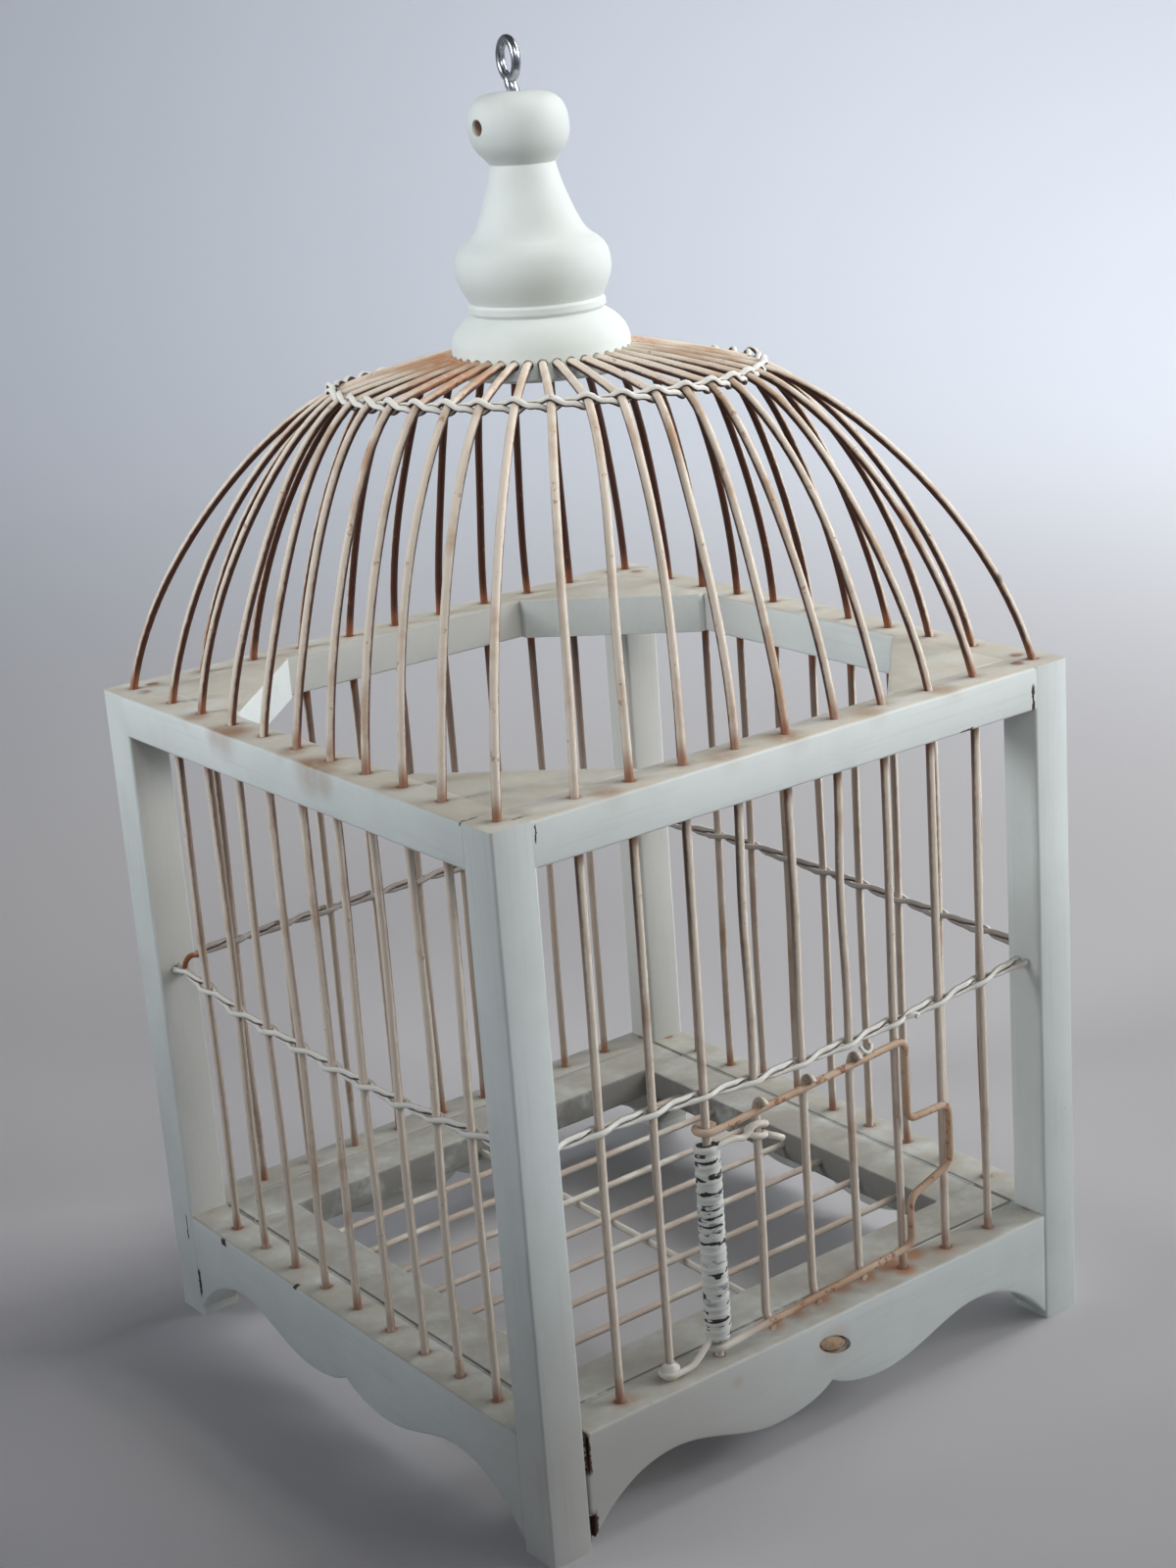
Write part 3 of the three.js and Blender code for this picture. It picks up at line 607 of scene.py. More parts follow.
def paintedWire(name, **own):
    finish = {**wireFinish, **own}
    wear = finish["wear"]
    material, tree, shader, place = startMaterial(name, IOR=1.5, Specular_IOR_Level=0.3)
    patches = addNode(tree, "TexNoise", {"Vector": place, **wirePaint["patches"]})
    flakes = addNode(tree, "TexNoise", {"Vector": place, **wirePaint["flakes"]})
    up = addNode(tree, "SeparateXYZ", (place,), 2)
    facing = facingSprayAndLight(tree, place, up, finish["paintedFrom"])
    shaken = addNode(tree, "Math", (flakes, 0.7, facing), operation="MULTIPLY_ADD")
    inner = (shaken, finish["roundTo"], finish["roundTo"] - 0.62)
    high = addNode(tree, "MapRange", (meeting(tree, (up, *wirePaint["cleanLow"])), 0, 1, 0.55, 1))
    foot = 0
    for level in (frameTop, railBottom, apronTop):
        away = addNode(tree, "Math", (up, level), operation="SUBTRACT")
        away = addNode(tree, "Math", (away,), operation="ABSOLUTE")
        near = meeting(tree, (away, *wirePaint["footReach"]))
        foot = addNode(tree, "Math", (foot, near), operation="MAXIMUM")
    atFoot = meeting(tree, foot, (patches, 0.3, 0.55), 0.8)
    inSpots = meeting(tree, (flakes, 0.68 - 0.12 * wear, 0.73 - 0.1 * wear), 0.3 + wear * 0.5)
    rusty = addNode(tree, "Math", (atFoot, inSpots), operation="MAXIMUM")
    coats = [
        (wirePaint["worn"], (patches, 0.64 - 0.3 * wear, 0.85 - 0.25 * wear)),
        (wirePaint["dark"], inner, finish["innerWear"], high),
        (wirePaint["rust"], rusty),
    ]
    if finish["rustAt"]:
        stained = spotShare(tree, place, finish["rustAt"])
        coats.append((wirePaint["orange"], stained, (flakes, 0.3, 0.55), 0.85))
    if finish["dirtBetween"]:
        # painted shade and dirt in the crevice between the two strands
        depth = addNode(tree, "Attribute", output=2, attribute_name="fromMiddle")
        coats.append((wirePaint["dark"], (depth, *wirePaint["strandShadeAndDirt"]), 0.85))
    if finish["chipAt"]:
        coats.append((wirePaint["chip"], spotShare(tree, place, finish["chipAt"])))
    if finish["whiteAt"]:
        coats.append((wirePaint["white"], spotShare(tree, place, finish["whiteAt"])))
    colour = layCoats(tree, finish["cream"], coats)
    finishMaterial(tree, shader, colour, flakes, wirePaint["relief"], rusty, (0.55, 0.85))
    return material


# Orange rust where water ran down from the finial: middle, reach and strength
crownRust = [
    ((-24, 8, 297), 22, 1.0),
    ((-40, -10, 295), 16, 0.9),
    ((22, -12, 297), 13, 0.9),
    ((40, 10, 296), 16, 0.8),
    ((0, 45, 295), 18, 0.6),
]
# A chip on the dome wire of the front right corner, down to black iron
domeChip = [((86.4, -86.6, 228.5), 2.6, 1.0)]
# Fresh paint at the spring's foot, on the door frame and on the hinge wire
doorFoot = [((-34.8, -96, 38.5), 20, 1.0)]
hingeFoot = [((-34.8, -93.2, 36), 14, 1.0)]

barWire = paintedWire("paintedIronWire")
frontBarWire = paintedWire("paintedFrontWire", paintedFrom="frontRightSprayAndLight")
domeWire = paintedWire("paintedDomeWire", wear=0.55, innerWear=1, roundTo=0.9, rustAt=crownRust,
                       chipAt=domeChip)
strandWire = paintedWire("paintedTyingWire", wear=0.05, innerWear=1.3, cream="#e3e1d8", dirtBetween=True)
pastePaint = paintedWire("thickPaintDrop", wear=0.05, innerWear=0.6, cream="#e3e1d8")
floorWire = paintedWire("paintedFloorWire", wear=0.1, innerWear=0.5, cream="#dcd8cb", paintedFrom="above")
hingeWirePaint = paintedWire("paintedHingeWire", paintedFrom="frontRightSprayAndLight", whiteAt=hingeFoot)
doorWire = paintedWire("rustedDoorWire", wear=1.1, innerWear=0.5, cream="#cdb49c", whiteAt=doorFoot)
bareCurl = paintedWire("rustyWireEnd", wear=2.4, innerWear=1, cream="#8a563c")


# Door spring: wound close round the hinge wire and painted thickly, so that the paint bridges the turns.
# Its arms, in millimetres, reach the second bar and the first door bar
spring = {
    "wire": 1.3 * mm,
    "thin": 1.12 * mm,
    "armWire": 0.95 * mm,
    "radius": 2.45 * mm,
    "paintReach": 3.48 * mm,
    "armReach": 2.35 * mm,
    "start": 41.45 * mm,
    "turns": 24,
    "pitch": 2.35 * mm,
    "perTurn": 20,
    "openTurns": [1, 4, 5, 8, 9, 12, 15, 18, 19, 22],
    "openShare": 0.12,
    "pinchWaves": (0.37, 0.083),
    "pinchLimit": 0.55,
    "lowHook": 36.7 * mm,
    "lowHookEnd": 1.8 * mm,
    "lowArm": [(-49.4, -95.5, 36.7), (-46, -95.4, 37), (-42.6, -94.8, 38.6), (-39.6, -94, 40.2)],
    "lead": 5,
    "wave": [(-31.8, -96, 98.6), (-28, -96, 98.7), (-24.6, -96, 97.8), (-22.4, -96, 98.7), (-20.6, -96, 100),
             (-18, -96, 99.8), (-15.6, -95.2, 98.7), (-15.05, -93.2, 97.5)],
    "loopDrop": 2.4 * mm,
    "tail": [(-14.6, -95.2, 95), (-12.8, -96.2, 94.3), (-10.8, -96.4, 93.1)],
}
springPaint = {
    "pale": "#e2e3dd",
    "paleThin": "#cfd0c9",
    "flaked": "#7c8384",
    "slitShade": "#3b3834",
    "arm": "#ded8ca",
    "stretch": (170, 170, 430),
    "slits": {"Scale": 1, "Detail": 2, "Roughness": 0.5},
    "flakes": {"Scale": 1 / 1.7, "Detail": 4, "Roughness": 0.7},
    "patches": {"Scale": 1 / (9 * mm), "Detail": 4, "Roughness": 0.6},
    "lumps": {"Scale": 1 / (1.5 * mm), "Detail": 4, "Roughness": 0.6},
    "relief": (0.4, 0.15 * mm),
    "valley": (0.12 * mm, 0.04 * mm),
    "inside": (3 * mm, 2.8 * mm),
    "onCoil": (4.9 * mm, 4.4 * mm),
}


# A close coil under paint so thick that it bridges the turns, cracked open here and there like birch bark,
# with painted shade in the cracks and inside the coil
def crackedCoilPaint():
    material, tree, shader, place = startMaterial("paintedSpringSteel", IOR=1.5, Specular_IOR_Level=0.3)
    axis = addNode(tree, "VectorMath", (place, (hinge.x, hinge.y, 0)), operation="SUBTRACT")
    axis = addNode(tree, "VectorMath", (axis, (1, 1, 0)), operation="MULTIPLY")
    radius = addNode(tree, "VectorMath", (axis,), 1, operation="LENGTH")
    stretched = addNode(tree, "Mapping", {"Vector": place, "Scale": springPaint["stretch"]})
    slits = addNode(tree, "TexNoise", {"Vector": stretched, **springPaint["slits"]})
    flakes = addNode(tree, "TexNoise", {"Vector": stretched, **springPaint["flakes"]})
    patches = addNode(tree, "TexNoise", {"Vector": place, **springPaint["patches"]})
    lumps = addNode(tree, "TexNoise", {"Vector": place, **springPaint["lumps"]})
    flaked = meeting(tree, (flakes, 0.6, 0.64))
    valley = (radius, *(spring["paintReach"] + edge for edge in springPaint["valley"]))
    # painted shade in the cracks between the turns and inside the coil
    slitShade = meeting(tree, valley, (slits, 0.54, 0.58))
    inside = meeting(tree, (radius, *springPaint["inside"]))
    dark = addNode(tree, "Math", (slitShade, inside), operation="MAXIMUM")
    coats = [
        (springPaint["paleThin"], patches),
        (springPaint["flaked"], flaked, 0.7),
        (springPaint["slitShade"], dark),
    ]
    coil = layCoats(tree, springPaint["pale"], coats)
    colour = layCoats(tree, springPaint["arm"], [(coil, (radius, *springPaint["onCoil"]))])
    finishMaterial(tree, shader, colour, lumps, springPaint["relief"], flaked, (0.6, 0.4))
    return material


coilPaint = crackedCoilPaint()


# Bright zinc plate on drawn steel: a cool metal with soft scratches and a little grey bloom
zincPaint = {
    "bright": "#c9ccd0",
    "grey": "#85888c",
    "bloom": {"Scale": 1 / (3 * mm), "Detail": 4, "Roughness": 0.6},
    "scratches": {"Scale": 1 / (0.8 * mm), "Detail": 2, "Roughness": 0.6},
    "relief": (0.2, 0.05 * mm),
}


def zincPlate():
    material, tree, shader, place = startMaterial("zincPlatedSteel", Metallic=1.0)
    bloom = addNode(tree, "TexNoise", {"Vector": place, **zincPaint["bloom"]})
    scratches = addNode(tree, "TexNoise", {"Vector": place, **zincPaint["scratches"]})
    grey = addNode(tree, "MapRange", (bloom, 0.3, 0.75))
    colour = layCoats(tree, zincPaint["bright"], [(zincPaint["grey"], grey)])
    finishMaterial(tree, shader, colour, scratches, zincPaint["relief"], bloom, (0.15, 0.4))
    return material


zinc = zincPlate()
print("materials mixed")


# Wood: sawn square, long edges rubbed round, surfaces a little uneven under the paint
sawn = {
    "edge": 0.9 * mm,
    "edgeSteps": 3,
    "cuts": 22,
    "uneven": 0.28 * mm,
    "unevenSize": 26 * mm,
    "unevenMiddle": 0.6,
    "holeGap": 0.12 * mm,
    "weld": 0.01 * mm,
    "tightJoint": 0.2 * mm,      # painted butt joints show only a hairline
    "filledJoint": 1 * mm,       # and where paint has filled them, hardly that
    "drillSides": 14,
    "drillOver": 2 * mm,
    "flatAngle": math.radians(2),
    "blockEdge": 0.3 * mm,
    "blockAngle": math.radians(30),
    "blockShift": 0.9 * mm,
    "apronAngle": math.radians(50),
}
unevenness = bpy.data.textures.new("handPlaned", "CLOUDS")
unevenness.noise_scale = sawn["unevenSize"]


def makeUneven(piece):
    modify(piece, "DISPLACE", texture=unevenness, texture_coords="GLOBAL", strength=sawn["uneven"],
           mid_level=sawn["unevenMiddle"])


def selectLongEdges(piece, axis):
    bpy.ops.object.mode_set(mode="EDIT")
    bpy.ops.mesh.select_mode(type="EDGE")
    bpy.ops.mesh.select_all(action="DESELECT")
    bpy.ops.object.mode_set(mode="OBJECT")
    for edge in piece.data.edges:
        first, second = (piece.data.vertices[v].co for v in edge.vertices)
        edge.select = abs(first[axis] - second[axis]) > timber
    bpy.ops.object.mode_set(mode="EDIT")


def plank(low, high, longer=0):
    longAxis = max(range(3), key=lambda axis: (high - low)[axis])
    extra = Vector([longer if axis == longAxis else 0 for axis in range(3)])
    bpy.ops.mesh.primitive_cube_add(size=1, location=(low + high) / 2, scale=high - low + 2 * extra)
    piece = bpy.context.object
    applyPlace(piece)
    selectLongEdges(piece, longAxis)
    bpy.ops.mesh.bevel(offset=sawn["edge"], segments=sawn["edgeSteps"], affect="EDGES")
    bpy.ops.object.mode_set(mode="OBJECT")
    selectLongEdges(piece, longAxis)
    bpy.ops.mesh.subdivide(number_cuts=sawn["cuts"])
    bpy.ops.object.mode_set(mode="OBJECT")
    makeUneven(piece)
    return piece


def cutAway(piece, tool):
    modify(piece, "BOOLEAN", object=tool, operation="DIFFERENCE", solver="EXACT")
    bpy.data.objects.remove(tool)
    # slivers that the cut leaves
    weld = {"threshold": sawn["weld"]}
    reshape(piece, (bpy.ops.mesh.remove_doubles, weld), (bpy.ops.mesh.dissolve_degenerate, weld))


def drillWood(piece, holes):
    # every hole is (middle, direction, radius, length)
    drills = []
    for middle, direction, radius, length in holes:
        bpy.ops.mesh.primitive_cylinder_add(vertices=sawn["drillSides"], radius=radius, depth=length,
                                            location=middle)
        drill = bpy.context.object
        drill.rotation_euler = Vector(direction).to_track_quat("Z", "Y").to_euler()
        applyPlace(drill)
        drills.append(drill)
    cutAway(piece, joinPieces("drill", drills))
    return piece


holeRadius = wires["radius"] + sawn["holeGap"]


def makeFrameTimber():
    for side in sides:
        corner = side["corner"]
        post = plank(*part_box(corner + "_post"))
        cornerPlace = turned((barLine, -barLine, frameTop), side["turn"])
        drillWood(post, [(cornerPlace, zAxis, holeRadius, 2 * wires["domeSeatDepth"])])
        finishPiece(post, corner + "PostPainted", woodAlong["Z"], nodes=[corner + "_post"])
        rail = plank(*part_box(side["name"] + "_top_rail"), longer=sawn["filledJoint"])
        through = 2 * (frameTop - railBottom)
        middle = (frameTop + railBottom) / 2
        places = [barPlace(i, side["turn"], middle) for i in range(wires["perSide"])]
        drillWood(rail, [(place, zAxis, holeRadius, through) for place in places])
        finishPiece(rail, side["name"] + "RailPainted", woodAlong[side["grain"]],
                    nodes=[side["name"] + "_top_rail"])
        print("timber of the", side["name"], "side made")


makeFrameTimber()


# Corner blocks: the frame's own shape, merged, given rubbed edges and set close into the corner
def makeCornerBlocks():
    for side in sides:
        node = side["corner"] + "_block"
        block = frame["nodes"][node].copy()
        block.data = block.data.copy()
        bpy.context.scene.collection.objects.link(block)
        block.parent = None
        for key in list(block.keys()):
            del block[key]
        reshape(block, (bpy.ops.mesh.remove_doubles, {"threshold": sawn["weld"]}),
                (bpy.ops.mesh.dissolve_limited, {"angle_limit": sawn["flatAngle"]}))
        modify(block, "BEVEL", width=sawn["blockEdge"], segments=2, limit_method="ANGLE",
               angle_limit=sawn["blockAngle"])
        shift = sawn["blockShift"]
        block.location = turned((shift, -shift, 0), side["turn"])
        applyPlace(block)
        finishPiece(block, side["corner"] + "BlockPainted", woodAlong["Y"], nodes=[node])


makeCornerBlocks()

# Aprons: a board sawn to a scallop. Shares of the half length and of the height, from the foot to the middle
scallop = {
    "footShares": (1, 0.05),
    "archShares": ((0.93, 0.28), (0.82, 0.52), (0.66, 0.52)),
    "lobeShares": ((0.52, 0.52), (0.38, 0.28), (0.24, 0.28)),
    "cuspShares": ((0.14, 0.28), (0.05, 0.33), (0, 0.43)),
    "steps": 14,
    "rows": 4,
}
# A knot in the front apron, loose in its hole
knot = {
    "x": 1.4 * mm,
    "z": 26.1 * mm,
    "length": 12.6 * mm,
    "height": 5.4 * mm,
    "depth": 1.1 * mm,
    "turn": math.radians(24),
    "plugShift": Vector((-0.7, 1.1, 0.5)) * mm,
    "plugThick": 2.53 * mm,
}
# Splits where the front apron meets the post: middle, size, and how far the low end narrows
splits = [
    {"middle": (-86.1, -99.5, 29), "size": (0.9, 5, 13), "narrow": 0.25},
    {"middle": (-86.2, -99.5, 5), "size": (1.6, 3, 11), "narrow": 0.6},
]


def scallopOutline():
    start = scallop["footShares"]
    outline = [start]
    for controls in (scallop["archShares"], scallop["lobeShares"], scallop["cuspShares"]):
        a, (b, c, d) = start, controls
        for step in range(1, scallop["steps"] + 1):
            t = step / scallop["steps"]
            weights = ((1 - t) ** 3, 3 * (1 - t) ** 2 * t, 3 * (1 - t) * t * t, t ** 3)
            outline.append(tuple(sum(w * p[k] for w, p in zip(weights, (a, b, c, d))) for k in (0, 1)))
        start = d
    return outline + [(-x, z) for x, z in reversed(outline[:-1])]


def sawScallop(outline, half):
    columns = len(outline) - 1
    bpy.ops.mesh.primitive_grid_add(x_subdivisions=columns, y_subdivisions=scallop["rows"], size=1)
    board = bpy.context.object
    for vertex in board.data.vertices:
        x, z = outline[round((0.5 - vertex.co.x) * columns)]
        lower = z * apronTop
        vertex.co = (x * half, apronLow.y, lower + (apronTop - lower) * (vertex.co.y + 0.5))
    thick = {"value": (0, apronHigh.y - apronLow.y, 0)}
    reshape(board, (bpy.ops.mesh.extrude_region_move, {"TRANSFORM_OT_translate": thick}),
            (bpy.ops.mesh.normals_make_consistent, {"inside": False}))
    return board


def shapeKnot(piece, sizes):
    piece.scale = sizes
    selectOnly(piece)
    bpy.ops.object.transform_apply(location=False, rotation=True, scale=True)
    piece.rotation_euler.y = knot["turn"]
    applyPlace(piece)
    return piece


def drillKnot(board):
    place = (knot["x"], apronLow.y, knot["z"])
    bpy.ops.mesh.primitive_cylinder_add(vertices=32, radius=0.5, depth=1, location=place,
                                        rotation=(quarter, 0, 0))
    cutAway(board, shapeKnot(bpy.context.object, (knot["length"], knot["height"], 2 * knot["depth"])))


def splitEnds(board):
    for split in splits:
        middle = Vector(split["middle"]) * mm
        bpy.ops.mesh.primitive_cube_add(size=1, location=middle, scale=Vector(split["size"]) * mm)
        wedge = bpy.context.object
        for vertex in wedge.data.vertices:
            if vertex.co.z < 0:
                vertex.co.x *= split["narrow"]
        applyPlace(wedge)
        cutAway(board, wedge)


def makeAprons():
    outline = scallopOutline()
    for side in sides:
        isFront = side["name"] == "front"
        joint = sawn["tightJoint"] if isFront else sawn["filledJoint"]
        board = sawScallop(outline, apronHigh.x + joint)
        modify(board, "BEVEL", width=sawn["edge"], segments=sawn["edgeSteps"], limit_method="ANGLE",
               angle_limit=sawn["apronAngle"])
        makeUneven(board)
        holeMiddle = apronTop + (sawn["drillOver"] - wires["seatDepth"]) / 2
        length = wires["seatDepth"] + sawn["drillOver"]
        seated = [i for i in range(wires["perSide"]) if not isFront or i <= hingeBar or i >= latchBar]
        drillWood(board, [(barPlace(i, 0, holeMiddle), zAxis, holeRadius, length) for i in seated])
        if isFront:
            drillKnot(board)
            splitEnds(board)
        board.rotation_euler.z = side["turn"]
        applyPlace(board)
        finishPiece(board, side["name"] + "ApronPainted", woodAlong[side["grain"]],
                    nodes=[side["name"] + "_apron"])


def makeKnotPlug():
    place = Vector((knot["x"], apronLow.y, knot["z"])) + knot["plugShift"]
    bpy.ops.mesh.primitive_uv_sphere_add(segments=32, ring_count=16, radius=0.5, location=place)
    plug = shapeKnot(bpy.context.object, (knot["length"], knot["plugThick"], knot["height"]))
    finishPiece(plug, "frontApronKnotPlug", resinKnot())


makeAprons()
makeKnotPlug()
print("aprons sawn")


# Floor boards, with sockets for the floor wires, and the wires themselves
floor = {
    "wires": 7,
    "socket": 6 * mm,
    "middle": (boardLow.z + boardHigh.z) / 2,
    "drop": 2.1 * mm,
    "sag": 0.3 * mm,
    "wireRadius": 1.1 * mm,
}
floorPitch = 2 * floorReach / (floor["wires"] + 1)
floorRows = [(index - (floor["wires"] - 1) / 2) * floorPitch for index in range(floor["wires"])]


def makeFloorBoards():
    length = 2 * floor["socket"]
    for side in sides:
        node = side["name"] + "_floor_board"
        board = plank(*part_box(node), longer=sawn["tightJoint"])
        alongX = side["grain"] == "X"
        places = [0] if alongX else floorRows
        height = floor["middle"] - (floor["drop"] if alongX else 0)
        inward = turned(yAxis, side["turn"])
        middles = [turned((x, -floorReach, height), side["turn"]) for x in places]
        drillWood(board, [(middle, inward, holeRadius, length) for middle in middles])
        finishPiece(board, side["name"] + "FloorBoardPainted", woodAlong[side["grain"]],
                    nodes=[node])


makeFloorBoards()
print("floor boards laid")


# Wires are bent as paths with a round section, then turned to mesh
def bendWires(name, paths, roundness=3):
    # every path is a list of (place, radius)
    bpy.ops.object.select_all(action="DESELECT")
    bpy.ops.curve.primitive_nurbs_path_add()
    wire = bpy.context.object
    wire.name = name
    curve = wire.data
    curve.splines.clear()
    curve.bevel_depth = wires["radius"]
    curve.bevel_resolution = roundness
    curve.use_fill_caps = True
    for path in paths:
        spline = curve.splines.new("POLY")
        spline.points.add(len(path) - 1)
        for point, (place, radius) in zip(spline.points, path):
            point.co = (*place, 1)
            point.radius = radius / wires["radius"]
    selectOnly(wire)
    bpy.ops.object.convert(target="MESH")
    return bpy.context.object


# A hand-straightened wire: a slow bow that dies out at both ends
def bowed(points, amount):
    firstPhase = random.uniform(0, 2 * math.pi)
    secondPhase = random.uniform(0, 2 * math.pi)
    amount *= random.uniform(wires["leastBow"], 1)
    count = len(points) - 1
    firstWave, secondWave = wires["bowWaves"]
    result = []
    for index, point in enumerate(points):
        share = index / count
        envelope = math.sin(math.pi * share) ** wires["bowFade"] if 0 < share < 1 else 0
        dx = math.sin(firstWave * math.pi * share + firstPhase)
        dy = math.sin(secondWave * math.pi * share + secondPhase)
        result.append(Vector(point) + Vector((dx, dy, 0)) * amount * envelope)
    return result


def straight(start, end, steps):
    return [Vector(start).lerp(Vector(end), step / steps) for step in range(steps + 1)]


def evenWire(points, radius=None):
    return [(point, radius or wires["radius"]) for point in points]


def arc(centre, first, second, radius, start, end, step=math.pi / 14):
    steps = max(2, round(abs(end - start) / step))
    angles = [start + (end - start) * index / steps for index in range(steps + 1)]
    return [centre + first * radius * math.cos(a) + second * radius * math.sin(a) for a in angles]


# Two strands twisted tight along the bars, opening only to pass each bar. Heights are at the post, at every
# bar, and at the other post.
tie = {
    "radius": 0.84 * mm,
    "touch": 1.86 * mm,
    "crossing": 0.8 * mm,
    "tightness": 3,
    "perStep": 14,
    "postGap": 0.4 * mm,
    "thickness": (0.94, 1.1),
    "heights": {
        "front": (114.6, 114.5, 113.8, 113, 111.6, 111.2, 111.4, 112.2, 113.2, 114.4, 115.4),
        "right": (116.7, 117.1, 117.5, 117.9, 118.4, 118.8, 119.2, 119.4, 119.0, 118.2, 117.5),
        "back": (117.8, 118, 118.3, 118.6, 118.8, 118.9, 118.8, 118.6, 118.3, 118, 117.8),
        "left": (117.3, 115.2, 112.8, 112.1, 111.8, 111.2, 111.2, 111.4, 112.6, 114.2, 114.8),
    },
}


# A strand of a twined pair, past wires at whole steps. The line gives place, across and along at a step
def twined(line, firstStep, lastStep, hand, thick=tie["radius"]):
    path = []
    count = round((lastStep - firstStep) * tie["perStep"])
    for index in range(count + 1):
        step = firstStep + index / tie["perStep"]
        place, across, along = line(step)
        swing = math.cos(math.pi * step)
        swing = math.copysign(abs(swing) ** tie["tightness"], swing)
        point = place + across * hand * tie["touch"] * swing
        point += along * hand * tie["crossing"] * math.sin(math.pi * step)
        path.append((point, thick * random.uniform(*tie["thickness"])))
    return path


# How far each point of a rope lies from its middle, for the painted shade and dirt between the strands
def measureRope(rope, line, stepAt):
    depth = rope.data.attributes.new("fromMiddle", "FLOAT", "POINT")
    for vertex, value in zip(rope.data.vertices, depth.data):
        value.value = (vertex.co - line(stepAt(vertex.co))[0]).length


def bindHeight(name, step):
    heights = tie["heights"][name]
    low = min(len(heights) - 2, max(0, math.floor(step + 1)))
    share = step + 1 - low
    return (heights[low] * (1 - share) + heights[low + 1] * share) * mm


# Loose ends of the strands: radius, and places that the strand passes
looseEnds = {
    "left": [
        (0.605, [(-93.2, 84.5, 116.9), (-93.6, 86.4, 118.6), (-94.6, 87.2, 117.6), (-94.4, 86.8, 115.9),
                 (-93.4, 85.2, 115.8), (-92.4, 84.2, 116.6)]),
    ],
    "front": [
        (0.55, [(37.5, -94.6, 112.6), (39, -95.4, 113.4), (40.6, -95.8, 113.6), (41.4, -96, 112.8),
                (40.8, -96, 112.2)]),
        (0.605, [(19.4, -95.6, 110.2), (20, -96.6, 108.8), (21.2, -97, 108.2), (22.6, -96.6, 108.9),
                 (23.2, -95.8, 110)]),
    ],
}
rustyEnd = [(-93.0, 83.6, 118.3), (-92.8, 82, 121.0), (-92.4, 79.4, 123), (-91.4, 76.4, 123.8),
            (-90.4, 74, 123.4)]


def smoothPath(points, perSpan=5):
    # a curve through the points, as a soft wire takes a bend
    points = [Vector(point) * mm for point in points]
    ends = [2 * points[0] - points[1]] + points + [2 * points[-1] - points[-2]]
    path = []
    for a, b, c, d in zip(ends, ends[1:], ends[2:], ends[3:]):
        for index in range(perSpan):
            t = index / perSpan
            path.append(b + (c - a) * t / 2 + (2 * a - 5 * b + 4 * c - d) * t * t / 2
                        + (3 * b - a - 3 * c + d) * t ** 3 / 2)
    return path + [points[-1]]


def makeSideWires():
    top = frameTop - wires["domeSeatDepth"] - wires["endGap"]
    bottom = apronTop - wires["seatDepth"] + wires["endGap"]
    postFace = halfCage - timber - tie["postGap"]
    for side in sides:
        turn = side["turn"]
        name = side["name"]
        isDoorSide = name == "front"
        paths = []
        for index in range(wires["perSide"]):
            if isDoorSide and index == hingeBar:
                continue
            inDoorway = isDoorSide and hingeBar < index < latchBar
            low = bindHeight(name, index) - wires["doorwayTail"] if inDoorway else bottom
            points = straight(barPlace(index, turn, low), barPlace(index, turn, top), wires["barSteps"])
            paths.append(evenWire(bowed(points, wires["bow"])))
        bars = bendWires("bars", paths)

        def line(step):
            x = max(-postFace, min(postFace, barX(step)))
            return turned((x, -barLine, bindHeight(name, step)), turn), turned(-yAxis, turn), zAxis

        strands = [twined(line, -1, wires["perSide"], hand) for hand in (1, -1)]
        strands += [evenWire(smoothPath(points), radius * mm) for radius, points in looseEnds.get(name, [])]
        binding = bendWires("tie", strands, 2)
        measureRope(binding, line, lambda point: turned(point, -turn).x / pitch + middleBar)
        finishWire(bars, name + "BarsPainted", frontBarWire if isDoorSide else barWire, [name + "_bars"])
        finishWire(binding, name + "BarTie", strandWire)
    points = straight(barPlace(hingeBar, 0, bottom), barPlace(hingeBar, 0, top), wires["barSteps"])
    hingeWire = bendWires("hingeWire", [evenWire(points)])
    finishWire(hingeWire, "hingeWirePainted", hingeWirePaint, ["hinge_wire"])
    curl = bendWires("rustyEnd", [evenWire(smoothPath(rustyEnd), tie["radius"])])
    finishWire(curl, "leftTieRustyEnd", bareCurl)


makeSideWires()


def makeFloorWires():
    reach = floorReach + floor["socket"] - wires["endGap"]
    paths = []
    for y in floorRows:
        points = straight((-reach, y, floor["middle"]), (reach, y, floor["middle"]), wires["barSteps"])
        paths.append(evenWire(bowed(points, floor["sag"]), floor["wireRadius"]))
    height = floor["middle"] - floor["drop"]
    points = straight((0, -reach, height), (0, reach, height), wires["barSteps"])
    paths.append(evenWire(points, floor["wireRadius"]))
    grid = bendWires("floorWires", paths)
    finishWire(grid, "floorWiresPainted", floorWire, ["floor_grid"])


makeFloorWires()
print("bars and floor wires strung")

# Dome: shares of the way in and of the rise from the rail to the ring. The ring sits a little lower behind
dome = {
    "ringRadius": 59.7 * mm,
    "ringWire": 0.86 * mm,
    "ringHeight": 291.5 * mm,
    "ringLift": -0.5 * mm,
    "ringSlope": 2.5 * mm,
    "highSide": -math.pi / 4,
    "inShares": (0, 0.11, 0.55, 1),
    "riseShares": (0, 0.35, 0.87, 1),
    "steps": 22,
    "socketRise": 5 * mm,
    "socketDepth": 3.8 * mm,
    "rimRadius": 25 * mm,
    "rimClear": 2.4 * mm,
    "arch": 0.5 * mm,
    "archShares": (0.3, 0.65),
    "tilt": 0.38,
    "endWire": 0.672 * mm,
    "endSpread": 0.5,
    "bow": 0.7 * mm,
}
socketHeight = finialLow.z + dome["socketRise"]
perQuarter = wires["perSide"] + 1


